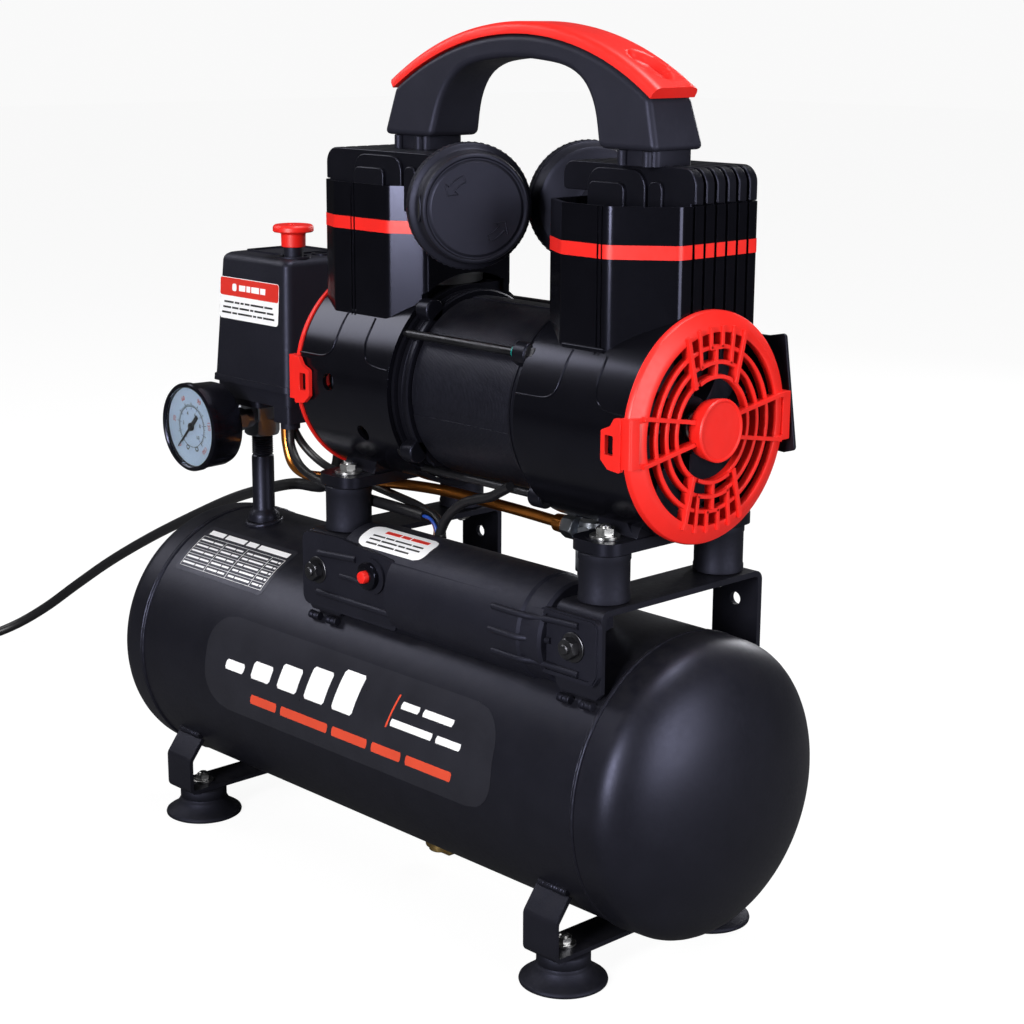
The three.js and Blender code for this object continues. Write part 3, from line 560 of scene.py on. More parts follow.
def soft_box(name, at, width, height, power):
    data = bpy.data.lights.new(name, "AREA")
    data.shape = "RECTANGLE"
    data.size = width
    data.size_y = height
    data.energy = power
    light = add_object(name, data)
    light.location = at
    light.rotation_mode = "QUATERNION"
    light.rotation_quaternion = (Vector(AIM) - Vector(at)).to_track_quat("-Z", "Y")


def seen_strength(tree, unseen, seen):
    """A strength that is one value for the camera and another for every other ray."""
    path = tree.nodes.new("ShaderNodeLightPath")
    values = {"To Min": unseen, "To Max": seen, "Value": path.outputs["Is Camera Ray"]}
    return add_node(tree, "ShaderNodeMapRange", values).outputs["Result"]


def make_studio():
    """A pale floor and backdrop that barely light the object, and soft boxes round it."""
    world = bpy.data.worlds.new("studio")
    world.use_nodes = True
    strength = seen_strength(world.node_tree, WORLD_LIGHT, WORLD_SEEN)
    set_inputs(world.node_tree, world.node_tree.nodes["Background"], {"Color": WHITE, "Strength": strength})
    bpy.context.scene.world = world
    bpy.context.scene.view_settings.view_transform = "Standard"
    for box in SOFT_BOXES:
        soft_box(*box)

    corners = [Vector((x, y, 0)) * FLOOR_HALF for x, y in rect(-1, 1, -1, 1)]
    mesh = to_mesh("floor", [(corners, [(0, 1, 2, 3)])])
    pale = finish("pale floor", (FLOOR_COLOUR,) * 3, 0.9, grain=3, bump=0.01, mottle=0.01, dust=0)
    tree = pale.node_tree
    strength = seen_strength(tree, 0.0, FLOOR_SEEN)
    set_inputs(tree, tree.nodes["Principled BSDF"], {"Emission Color": WHITE,
                                                     "Emission Strength": strength})
    mesh.materials.append(pale)
    add_object("floor", mesh)


make_camera()
make_studio()

# ---------------------------------------------------------------- mains lead

CORD_RADIUS = 3.5
CORD_EXIT = (-104.0, 14.0, 226.0)
COIL_CENTRE = (-520.0, -72.0)
COIL_OUTER, COIL_INNER = 42.2, 34.9
COIL_LIFT = 7.3
PLUG_TAIL = (-558.5, -102.65, 17.5)
CORD_KNOTS = [
    CORD_EXIT,
    (-106.4, 14.3, 213.8),
    (-113.4, 15.2, 203.4),
    (-123.8, 17.0, 196.4),
    (-136.0, 19.3, 193.8),
    (-160.0, 24.5, 190.5),
    (-192.0, 32.0, 182.0),
    (-245.0, 42.0, 165.0),
    (-300.0, 50.0, 143.0),
    (-370.0, 57.0, 112.0),
    (-430.0, 60.5, 82.0),
    (-478.0, 60.0, 54.0),
    (-512.0, 54.0, 31.0),
    (-536.0, 42.0, 14.5),
    (-550.0, 24.0, 5.6),
    (-556.5, 2.0, 3.7),
    (-559.5, -25.0, 3.6),
]


def eased(value, start, end):
    share = min(1.0, max(0.0, (value - start) / (end - start)))
    return share * share * (3 - 2 * share)


def coil_path():
    """Two turns inwards on the floor and two outwards on top of them, from the left side and back to it."""
    path = []
    for degrees in range(180, 180 + 4 * 360 + 1, 5):
        inward = eased(degrees, 480, 560)
        outward = eased(degrees, 1080, 1160)
        radius = COIL_OUTER + (COIL_INNER - COIL_OUTER) * (inward - outward)
        z = 3.6 + COIL_LIFT * (eased(degrees, 760, 830) + eased(degrees, 1520, 1615))
        x, y = polar(COIL_CENTRE, radius, degrees)
        path.append(Vector((x, y, z)))
    return path


def make_cord():
    knots = [Vector(point) for point in CORD_KNOTS]
    knots += coil_path()[::4]
    tail = Vector(PLUG_TAIL)
    knots += [tail + Vector((-1.4, 16, 0.3)), tail + Vector((0, -3, 0))]
    path = smooth_path(knots, 6)
    lead = piece("mains_cord", [sweep(path, CORD_RADIUS, 20)], "lead", replaces=("cord", "cord_coil"),
                 smooth=60)

    x, y, z = CORD_EXIT
    relief = [(z + 0.3, 3.7), (z + 0.3, 4.6)]
    for k in range(5):
        low = z + 2.0 + 3.0 * k
        grow = 0.36 * k
        relief += [(low, 4.8 + grow), (low + 1.0, 4.9 + grow), (low + 1.2, 4.2 + grow),
                   (low + 2.6, 4.2 + grow)]
    relief += [(242.8, 6.6), (243.4, 8), (251.7, 8), (251.7, 0), (z + 4, 0), (z + 4, 3.7), (z + 0.3, 3.7)]
    strain_relief = piece("strain_relief", [turned("z", relief, (x, y, 0), 40)], "rubber",
                          replaces=("cord_strain_relief",))

    grip = [(0, 3.9), (0, 4.6), (4, 4.9), (4.6, 4.3), (7, 4.4), (7.6, 5.2), (10.6, 5.4), (11.2, 4.7),
            (13.6, 4.9), (14.2, 5.8), (17, 6.1), (17.6, 5.4), (20, 5.7), (21, 7), (24, 11), (30, 15.2),
            (36, 17.0), (44, 17.2), (49, 16.9), (50, 16.2), (50, 0), (3, 0), (3, 3.9), (0, 3.9)]
    parts = [turned("y", [(-along, radius) for along, radius in grip], PLUG_TAIL, 56)]
    pins = []
    for offset in (-9.5, 9.5):
        pin = [(-69, 0), (-69, 1.2), (-67.6, 2.4), (-49, 2.4), (-49, 0)]
        at = (PLUG_TAIL[0] + offset, PLUG_TAIL[1], PLUG_TAIL[2])
        pins.append(turned("y", pin, at, 24))
        parts.append(turned("y", [(-52.5, 0), (-52.5, 3.4), (-51.5, 3.9), (-49, 3.9), (-49, 0)], at, 24))
    plug = piece("plug_body", parts, "rubber", replaces=("plug",))
    prongs = piece("plug_pins", pins, "pin")


make_cord()

# ---------------------------------------------------------------- tank and its supports

TANK_RADIUS = 77.0
TANK_Z = 98.65
TANK_SEAM = 182.2
TANK_SKIRT = 193.2
TANK_DOME = 32.3
RISER = (-147.0, -10.0)
FOOT_X, FOOT_Y = 154.2, 54.6
POST_X, POST_Y = (165.5, -27.5), 41.5
SADDLE_TOP = 197.8


def on_tank(x, degrees, lift=0.0):
    """A point on the barrel; degrees are measured up from the middle of its front."""
    radius = TANK_RADIUS + lift
    angle = math.radians(degrees)
    return Vector((x, -radius * math.cos(angle), TANK_Z + radius * math.sin(angle)))


def make_tank():
    right = [(TANK_SEAM - 3.2, TANK_RADIUS), (TANK_SEAM - 2.2, TANK_RADIUS - 0.5),
             (TANK_SEAM - 1.0, TANK_RADIUS - 0.5), (TANK_SEAM + 0.2, TANK_RADIUS + 0.5),
             (TANK_SEAM + 3.5, TANK_RADIUS + 0.3), (TANK_SKIRT, TANK_RADIUS)]
    for k in range(1, 25):
        angle = math.radians(90 * k / 24)
        right.append((TANK_SKIRT + TANK_DOME * math.sin(angle), TANK_RADIUS * math.cos(angle)))
    right[-1] = (TANK_SKIRT + TANK_DOME, 0)
    left = [(-along, radius) for along, radius in reversed(right)]
    middle = [(40.0 * k - 160.0, TANK_RADIUS) for k in range(9)]
    barrel = turned("x", left + middle + right, (0, 0, TANK_Z), 160)
    bung = turned("z", [(15.8, 5.0), (15.8, 8.6), (16.3, 9), (23.5, 9), (25, 5.2), (25, 5.0), (15.8, 5.0)])
    beads = []
    for x in (-TANK_SEAM, TANK_SEAM):
        side = math.copysign(1, x)
        circle = [Vector((x - 1.6 * side, *polar((0, TANK_Z), TANK_RADIUS - 0.4,
                                                 360 * k / 220))) for k in range(220)]
        beads.append(weld(circle, 1.35, closed=True))
    beads.append(weld([Vector((*polar((0, 0), 9.6, 12 * k), 22.3)) for k in range(30)], 1.7, closed=True))
    riser = [Vector((RISER[0] + 9.6 * c, RISER[1] + 9.6 * s, 0)) for c, s in waves(44)]
    for point in riser:
        point.z = TANK_Z + math.sqrt(TANK_RADIUS ** 2 - point.y ** 2) + 0.5
    beads.append(weld(riser, 1.9, closed=True))
    for x in POST_X:
        for y in (-58.7, 58.7):
            z = TANK_Z + math.sqrt(TANK_RADIUS ** 2 - y * y) + 2.0
            for start in (-11.5, 3.5):
                line = [Vector((x + start + 0.25 * k, y + math.copysign(1.0, y), z)) for k in range(33)]
                beads.append(weld(line, 2.1))
    for x in (-FOOT_X, FOOT_X):
        for side in (-1, 1):
            line = [Vector((x - 10 + 0.5 * k, side * 62.2, 52.4)) for k in range(41)]
            beads.append(weld(line, 2.0))
    piece("tank_shell", [barrel, bung], "tank", replaces=("tank",), smooth=20)
    piece("tank_welds", beads, "tank", smooth=60)


def make_drain():
    body = turned("z", [(7, 0), (7, 5.6), (7.6, 6.5), (12.4, 6.5), (13, 5.8), (13, 4.5), (20, 4.5),
                        (24, 4.2), (24, 0)])
    grooves = [turned("z", [(14 + k, 4.4), (14.5 + k, 4.9), (15 + k, 4.4)], sides=24) for k in range(6)]
    wing = prism("y", rounded([(6, -11), (6, 11), (12, 11), (12, -11)], 2.4), -1.8, 1.8)
    piece("drain_cock_body", [body, *grooves, wing], "brass", "drain", bevel=0.3, replaces=("drain_cock",))


def strap_outline():
    half = [(71.9, 17.0), (72.0, 39.0), (62.8, 51.2), (60.6, 49.6), (69.5, 38.0), (69.5, 19.5)]
    outline = half + [(-y, z) for y, z in reversed(half)]
    radii = [4.2, 5.0, 0.4, 0.4, 3.0, 1.8]
    return rounded(outline, radii + radii[::-1], 6)


def make_supports():
    for hand, x in (("right", FOOT_X), ("left", -FOOT_X)):
        strap = prism("x", strap_outline(), x - 11.5, x + 11.5)
        holes = [rod("z", 3.6, 10, 24, (x, side * FOOT_Y, 0), 32) for side in (-1, 1)]
        piece(f"foot_strap_sheet_{hand}", [carve([strap], holes)], "frame", bevel=0.5,
              replaces=(f"foot_strap_{hand}",))
        for row, y in (("front", -FOOT_Y), ("rear", FOOT_Y)):
            cup = [(0, 0), (0, 12), (1.6, 14), (0.2, 20.6), (0, 21.6), (0.5, 22.4), (1.3, 22.6),
                   (2.2, 22.3), (3.0, 21.2), (4.4, 18.6), (6.4, 16.2), (8.6, 14.6), (9.2, 14.4),
                   (9.6, 13.6), (10.6, 13.3), (11.2, 13.8), (15.6, 13.8), (16.4, 13.4), (16.7, 12.4),
                   (16.7, 0)]
            piece(f"suction_foot_{row}_{hand}", [turned("z", cup, (x, y, 0), 80)], "rubber",
                  replaces=(f"rubber_foot_{row}_{hand}",), smooth=50)
            piece(f"foot_screw_{row}_{hand}", bolt("z", (x, y, 19.6), 7.5, 3.2, 6.2), "bright", bevel=0.15)

    for hand, x in zip(("right", "left"), POST_X):
        half, low, t = 58.7, 153.4, 3.0
        outline = [(-half, low), (-half + t, low), (-half + t, SADDLE_TOP - t), (half - t, SADDLE_TOP - t),
                   (half - t, low), (half, low), (half, SADDLE_TOP), (-half, SADDLE_TOP)]
        bent = prism("x", rounded(outline, [0.5, 0.5, 2.4, 2.4, 0.5, 0.5, 5.2, 5.2], 7), x - 15, x + 15)
        cuts = [rod("z", 3.6, 190, 200, (x, side * POST_Y, 0), 32) for side in (-1, 1)]
        cuts.append(rod("y", 3.4, 50, 62, (x, 0, 180), 32))
        cuts.append(rod("y", 3.4, -62, -50, (x - 2, 0, 178), 32))
        for side in (-1, 1):
            chamfer = [(x + side * 16, 152), (x + side * 16, 158), (x + side * 10, 152)]
            cuts.append(prism("y", [(z, px) for px, z in chamfer], -62, 62))
        piece(f"saddle_sheet_{hand}", [carve([bent], cuts)], "frame", bevel=0.5,
              replaces=(f"motor_saddle_{hand}",))
        for row, y in (("front", -POST_Y), ("rear", POST_Y)):
            post = [(198.1, 0), (198.1, 12.2), (198.6, 12.8), (201.5, 12.8), (202.3, 12.45), (218.2, 12.45),
                    (219.0, 12.8), (222.0, 12.8), (222.6, 12.2), (222.6, 0)]
            piece(f"vibration_mount_{row}_{hand}", [turned("z", post, (x, y, 0), 72)], "rubber",
                  replaces=(f"rubber_mount_{row}_{hand}",))
            parts = bolt("z", (x, y, 229.2), 8.4, 3.6, 7.4)
            parts += bolt("z", (x, y, 194.6), 8.4, 3.2, 6.8, sign=-1)
            piece(f"mount_nuts_{row}_{hand}", parts, "bright", bevel=0.15)


make_tank()
make_drain()
make_supports()

# ---------------------------------------------------------------- the two pump ends, outwards along +s

MOTOR_X, MOTOR_Z = 69.0, 280.0
AXIS = (0, 0, MOTOR_Z)
RIGHT_END = Matrix.Translation((MOTOR_X, 0, 0))
LEFT_END = RIGHT_END @ Matrix.Rotation(math.pi, 4, "Z")
ENDS = {"right": RIGHT_END, "left": LEFT_END}
LIP_Z = 385.0
POST_S = POST_X[0] - MOTOR_X
TIE_CIRCLE = 52
TIE_ANGLES = (54, 144, 234, 324)
CYLINDER_S = 80
CRANK_THROW = 6
BLADE_HALF = 0.8
FAN_PLACE = Matrix.Translation((101, 0, 0))
FILTER_PLACE = Matrix.Translation((23, 24, 377.5)) @ Matrix.Rotation(math.radians(150), 4, "Z")
STRIPE = (360.7, 367.3)
RIB_PITCH, RIB_WIDTH, RIB_COUNT = 7.7, 5.7, 7
RIB_START = -16.95
SEAMS = ((87.6, 88.9), (90.3, 91.3))


def end_plan(margin):
    """The plan of an end unit's upper box in (s, y), shrunk inwards by the margin."""
    m = margin
    outline = [(44 + m, -29 + m * 0.6), (64 + m * 0.3, -41 + m), (94 - m * 0.4, -41 + m),
               (120 - m, -19 + m * 0.4), (120 - m, 36 - m * 0.4), (105 - m * 0.3, 42 - m),
               (62 + m * 0.3, 42 - m), (44 + m, 30 - m * 0.6)]
    return rounded(outline, [5, 6, 9, 5, 4, 7, 7, 5], 6)


def plate_outline(s0, s1, low, high, radius):
    """A plate standing across y, with its two upper corners rounded; listed as (z, s)."""
    return rounded(rect(low, high, s0, s1), [0, radius, radius, 0], 8)


def drum_line(points, lift=0.0):
    """Points on the drum from (s, degrees up from the middle of the -y side)."""
    radius = 55.5 + lift
    line = []
    for along, degrees in points:
        y, z = polar((0, MOTOR_Z), radius, 180 - degrees)
        line.append(Vector((along, y, z)))
    return line


def half_turned(shape):
    """The same shape on the other face of the end unit's head."""
    return rotated(shape, "Z", 180, (73, 12.85, 0))


def end_grooves(s0, s1, out, reach, foot, seam_foot, top):
    """Blocks that part the ribs of an end unit's outer wall and cut the seams of its front and back.

    A seam's cut runs from out to reach, both measured from y = 0; reach is for the front and the back.
    """
    gap = RIB_PITCH - RIB_WIDTH
    blocks = []
    for k in range(1, RIB_COUNT):
        y = RIB_START + RIB_PITCH * k - gap
        blocks.append(block(s0, s1, y, y + gap, foot, top))
    for side, depth in zip((1, -1), reach):
        y0, y1 = sorted((-side * out, -side * depth))
        for start, end in SEAMS:
            blocks.append(block(start, end, y0, y1, seam_foot, top))
    return blocks


def make_end_shell():
    walls = [rod("x", 55.5, 47, 120, AXIS, 112), prism("z", end_plan(0), MOTOR_Z, LIP_Z)]
    cuts = [rod("x", 53.0, 44, 122, AXIS, 96), rod("x", 59, 30, 46.7, AXIS, 64),
            prism("z", end_plan(2.4), MOTOR_Z - 10, LIP_Z + 2), block(40, 50, -4, 26, 363, 390),
            block(58, 113.5, -26, 26, 218, 232)]
    cuts += [rod("y", 4.7, 40, 60, (95.4, 0, 280.3), 40), rod("y", 4.2, 40, 60, (73.8, 0, 255.1), 40)]
    cuts += end_grooves(118.6, 121, 42.5, (40.2, 41.2), MOTOR_Z + 40, MOTOR_Z + 25, LIP_Z + 2)
    return carve(walls, cuts)


def make_stripe():
    low, high = STRIPE
    band = carve([prism("z", end_plan(-0.25), low, high)],
                 [prism("z", end_plan(0.15), low - 1, high + 1), block(40, 50, -4, 26, 360, 370)])
    return carve([band], end_grooves(118, 122, 43, (40, 40), low - 1, low - 1, high + 1))


def seam_lines():
    outer = [(97, 40), (97.6, 34), (97.6, 28), (98.4, 22.5), (101, 17), (105.5, 14.2), (112, 13),
             (119.5, 12.6)]
    inner = [(47.5, 13.9), (57, 14.0), (66, 14.3), (71, 16.2), (73.6, 20.5), (74, 26), (74, 33), (74, 41)]
    lines = [sweep(smooth_path(drum_line(line, 0.05), 6), 0.55, 8) for line in (outer, inner)]
    lines.append(sweep([Vector((66, -40.5, MOTOR_Z + 37.7)), Vector((93, -40.5, MOTOR_Z + 37.7))], 1.4, 16))
    return lines + [rotated(line, "Z", 180, (84, 0, 0)) for line in lines]


def make_head_casting():
    parts = []
    for k in range(1, RIB_COUNT):
        y = RIB_START + RIB_PITCH * k
        outline = rounded([(372, 50), (388, 50), (388, 33.5), (402, 33.5), (402, 119.8), (385.4, 119.8),
                           (385.4, 117.2), (372, 117.2)], [0, 0, 2, 12, 14, 0, 0, 0], 8)
        parts.append(prism("y", outline, y, y + RIB_WIDTH))
    plates = [prism("y", plate_outline(52, 90, 372, 400, 9), -11.7, -9),
              prism("y", plate_outline(54.6, 78.4, 372, 393.4, 4), -14.0, -11.5),
              prism("y", plate_outline(91.5, 100.5, 372, 395, 4), -11.4, -9)]
    return parts + plates + [half_turned(plate) for plate in plates]


def make_head_core():
    core = block(52.5, 116.5, -9, 34.5, 371.3, 388)
    pad = prism("z", rounded(rect(70, 101, -3, 28), 4), 380, 401.2)
    return [core, pad]


def ring_bar(start, end, wide, low, high):
    """A straight bar of the guard between two (y, z) points, standing from s = low to s = high."""
    a, b = Vector(start), Vector(end)
    across = (b - a).normalized().orthogonal() * wide / 2
    outline = [a + across, a - across, b - across, b + across]
    return prism("x", [(p.x, p.y + MOTOR_Z) for p in outline], low, high)


def make_guard():
    rim = [(120.4, 56.4), (122.2, 56.4), (123.4, 55.8), (126.2, 50.4), (126.8, 47.6), (126.6, 46.4),
           (125.4, 46.2), (122.4, 46.6), (121.6, 52.6), (120.4, 54.2), (120.4, 56.4)]
    parts = [turned("x", rim, AXIS, 128)]
    for radius in (25.4, 32.3, 39.6):
        ring = [(122.6, radius - 0.9), (122.6, radius + 0.9), (126.2, radius + 1.1), (126.7, radius + 0.7),
                (126.7, radius - 0.7), (126.2, radius - 1.1), (122.6, radius - 0.9)]
        parts.append(turned("x", ring, AXIS, 112))
    hub = [(123.4, 0), (123.4, 14.2), (127.6, 15.0), (131.2, 15.4), (131.9, 15.0), (132.0, 14.2),
           (131.5, 13.6), (131.5, 0)]
    parts.append(turned("x", hub, AXIS, 80))
    for side in (-1, 1):
        for up in (-1, 1):
            parts.append(ring_bar((side * 13.6, up * 5.2), (side * 49.5, up * 11.4), 1.9, 123.0, 128.4))
            parts.append(ring_bar((side * 20.3, up * 45.6), (side * 14.2, up * 20.8), 2.2, 122.6, 128.2))
            parts.append(ring_bar((side * 12.2, up * 48.4), (side * 10.6, up * 30.4), 1.9, 122.8, 127.8))
            parts.append(ring_bar((side * 4.2, up * 49.4), (side * 4.0, up * 39.0), 1.9, 122.8, 127.8))
    for up in (-1, 1):
        parts.append(ring_bar((0, up * 39.4), (0, up * 25.6), 1.9, 122.8, 127.6))
        parts.append(ring_bar((-4.4, up * 39.3), (4.4, up * 39.3), 1.8, 122.8, 127.8))
        for reach, radius in ((10.9, 32.3), (14.4, 25.4)):
            arch = [(y, up * z) for y, z in arc((0, 0), radius, 90 - reach * 1.8, 90 + reach * 1.8, 10)]
            for first, second in zip(arch, arch[1:]):
                parts.append(ring_bar(first, second, 1.8, 126, 127.8))
    for side in (-1, 1):
        y0, y1 = sorted((side * 46.8, side * 57.6))
        lump = prism("z", rounded(rect(120.3, 126.8, y0, y1), 1.2), 268.0, 291.8)
        window = prism("z", rect(119, 127.4, side * 47.5, side * 51.5), 270.4, 289.4)
        parts.append(carve([lump], [window]))
        clip = rounded([(291.5, 121), (291.5, 117), (287.5, 114.5), (285, 108.6), (271, 108.6), (267, 113),
                        (266, 121)], 1.2)
        y0, y1 = sorted((side * 55.9, side * 58.4))
        hole = prism("y", rounded([(283, 111.2), (283, 116.4), (273.8, 116.4), (273.8, 111.2)], 0.6),
                     *sorted((side * 50, side * 62)))
        parts.append(carve([prism("y", clip, y0, y1)], [hole]))
    return parts


def make_filter(hand, end):
    aim = end @ FILTER_PLACE
    base = [(-28.3, 0), (-28.3, 9), (-1, 9), (0, 12), (0.6, 26.5), (2, 28.6), (4.2, 29.4), (8.4, 30.6),
            (9, 31.1), (9, 10), (22, 10), (22, 0)]
    piece(f"filter_seat_{hand}", [placed(turned("x", base), aim)], "black", bevel=0.2,
          replaces=(f"air_filter_base_{hand}",))
    cap = [(9.4, 29.0), (9.4, 31.2), (10, 31.5), (15.6, 31.5), (16.6, 31.2), (17.4, 30.2), (17.8, 29.2),
           (18.6, 28.4), (21, 27.6), (24.4, 27.3), (28.0, 27.3), (29.2, 26.9), (29.8, 26.1), (29.9, 25.4),
           (29.4, 25.0), (28.9, 24.6), (28.9, 24.0), (29.4, 23.6), (30.0, 22.6), (30.0, 0), (27.5, 0),
           (27.5, 24), (16, 28.5), (9.4, 29.0)]
    parts = [placed(turned("x", cap, sides=112), aim)]
    for k in range(60):
        notch = rotated(block(10.6, 15.2, 31.3, 31.75, -0.45, 0.45), "X", 6 * k)
        parts.append(placed(notch, aim))
    for turn in (0, 180):
        shaft = [polar((0, 0), radius, a + turn) for radius,
                 span in ((17.6, (112, 142)), (14.2, (142, 112)))
                 for a in (span[0] + (span[1] - span[0]) * i / 8 for i in range(9))]
        tip = [polar((0, 0), radius, a + turn) for radius, a in ((20.2, 141.5), (15.9, 156), (11.6, 141.5))]
        outline = shaft[:9] + tip + shaft[9:]
        edge = [Vector((30.05, a, b)) for a, b in outline]
        parts.append(placed(sweep(edge, 0.34, 8, closed=True), aim))
    mouth = [Vector((23.2 + 2.2 * c, -27.2 - 0.3 * s ** 2, 6.2 * s)) for c, s in waves(32)]
    parts.append(placed(sweep(mouth, 0.55, 8, closed=True), aim))
    piece(f"filter_cover_{hand}", parts, "black", f"filter_cap_{hand}",
          replaces=(f"air_filter_cap_{hand}",), smooth=25)
    # painted shade: a near-black oval sheet on the cap stands in for the shaded inside of the inlet opening
    oval = [(23.2 + 1.9 * c, 5.8 * s) for c, s in waves(32)]
    patch = skin([[(x, y, z) for x, z in oval] for y in (-27.7, -26.5)])
    piece(f"filter_inlet_shade_{hand}", [placed(patch, aim)], "dark", f"filter_cap_{hand}")


def make_ends():
    for hand, end in ENDS.items():
        piece(f"end_shell_{hand}", [placed(make_end_shell(), end)], "gloss", bevel=0.45,
              replaces=(f"shroud_{hand}",), smooth=28)
        piece(f"end_seams_{hand}", all_placed(seam_lines(), end), "gloss", smooth=60)
        piece(f"red_stripe_{hand}", [placed(make_stripe(), end)], "red", smooth=28)
        piece(f"head_plates_{hand}", all_placed(make_head_casting(), end), "head", bevel=0.7,
              replaces=(f"cylinder_head_{hand}",))
        piece(f"head_core_{hand}", all_placed(make_head_core(), end), "head", bevel=0.8)
        piece(f"guard_{hand}", all_placed(make_guard(), end), "red", bevel=0.35,
              replaces=(f"fan_guard_{hand}",), segments=2)
        make_filter(hand, end)


make_ends()


def make_crankcases():
    for hand, end in ENDS.items():
        ring = [(37.3, 28), (37.3, 49.7), (37.9, 50.5), (39.2, 50.5), (39.4, 50.0), (41.2, 50.0),
                (41.4, 50.5), (44.4, 50.5), (45.0, 49.9), (45.0, 28), (37.3, 28)]
        body = [turned("x", ring, AXIS, 120), hoop("x", 34, 52.6, 45, 54, AXIS, 96),
                hoop("x", 30, 40, 53, 97, AXIS, 80), block(50, 97, -27, 27, 300, 331.8)]
        bore = [rod("x", 30, 54.2, 99, AXIS, 72), block(71, 89, -22, 22, 290, 340),
                rod("x", 28, 30, 56, AXIS, 72)]
        case = carve(body, bore)
        lugs, nuts, rods = [], [], []
        for degrees in TIE_ANGLES:
            y, z = polar((0, MOTOR_Z), TIE_CIRCLE, degrees)
            inner_y, inner_z = polar((0, MOTOR_Z), 47.5, degrees)
            boss = rod("x", 6, 37.3, 46.4, (0, y, z), 40, 0.6)
            root = rotated(block(37.4, 45.0, -6, 6, -5, 1), "X", degrees - 90)
            lugs += [boss, shifted(root, 0, inner_y + (y - inner_y) * 0.6, inner_z + (z - inner_z) * 0.6)]
            nuts.append(hexagon("x", 7.6, 46.5, 50.4, (0, y, z)))
            nuts.append(rod("x", 5.2, 46.3, 46.9, (0, y, z), 32))
            if hand == "right":
                rods.append(rod("x", 2.2, -52.5, 52.5, (0, y, z), 24, 0.5))
        foot = prism("z", rounded(rect(82, 111, -54, 54), 9), 223.1, 229)
        arm = [(228.9, 86), (246, 78), (246, 96), (228.9, 107)]
        arms = [prism("y", arm, y - 3, y + 3) for y in (-30, 30)]
        saddle = prism("x", [(-34, 228.9), (34, 228.9), (26, 244), (-26, 244)], 84, 110)
        feet = carve([foot, saddle, *arms], [rod("x", 53.2, 60, 119, AXIS, 80)])
        for y in (-POST_Y, POST_Y):
            feet = carve([feet, rod("z", 9.6, 226, 229.2, (POST_S, y, 0), 40)],
                         [rod("z", 3.4, 222, 240, (POST_S, y, 0), 24)])

        piece(f"crankcase_casting_{hand}", [placed(case, end)], "head", bevel=0.4,
              replaces=(f"crankcase_{hand}",), smooth=28)
        piece(f"clamp_lugs_{hand}", all_placed(lugs, end), "head", bevel=0.6)
        piece(f"crankcase_foot_{hand}", [placed(feet, end)], "head", bevel=0.8)
        piece(f"tie_rod_nuts_{hand}", all_placed(nuts, end), "zinc", bevel=0.2)
        if rods:
            piece("tie_rods", all_placed(rods, end), "zinc")
        if hand == "right":
            y, z = polar((0, MOTOR_Z), TIE_CIRCLE, TIE_ANGLES[1])
            dab = turned("x", [(33.4, 0), (33.6, 2.4), (34.6, 3.4), (36.2, 3.6), (37.1, 2.9), (37.3, 0)],
                         (0, y, z), 24)
            piece("paint_dab", [placed(dab, end)], "dab")
        bearing = [hoop("x", 8.3, 11.5, 57, 63, AXIS, 48), hoop("x", 11.7, 18.0, 57.6, 62.4, AXIS, 64)]
        piece(f"main_bearing_{hand}", all_placed(bearing, end), "steel", bevel=0.4)
        sleeve = [hoop("z", 28.5, 31, 332.3, 371, (CYLINDER_S, 0, 0), 96)]
        for k in range(4):
            sleeve.append(hoop("z", 30.8, 33.5, 337 + 8 * k, 338.6 + 8 * k, (CYLINDER_S, 0, 0), 96))
        piece(f"cylinder_liner_{hand}", all_placed(sleeve, end), "cast", bevel=0.3,
              replaces=(f"cylinder_sleeve_{hand}",))


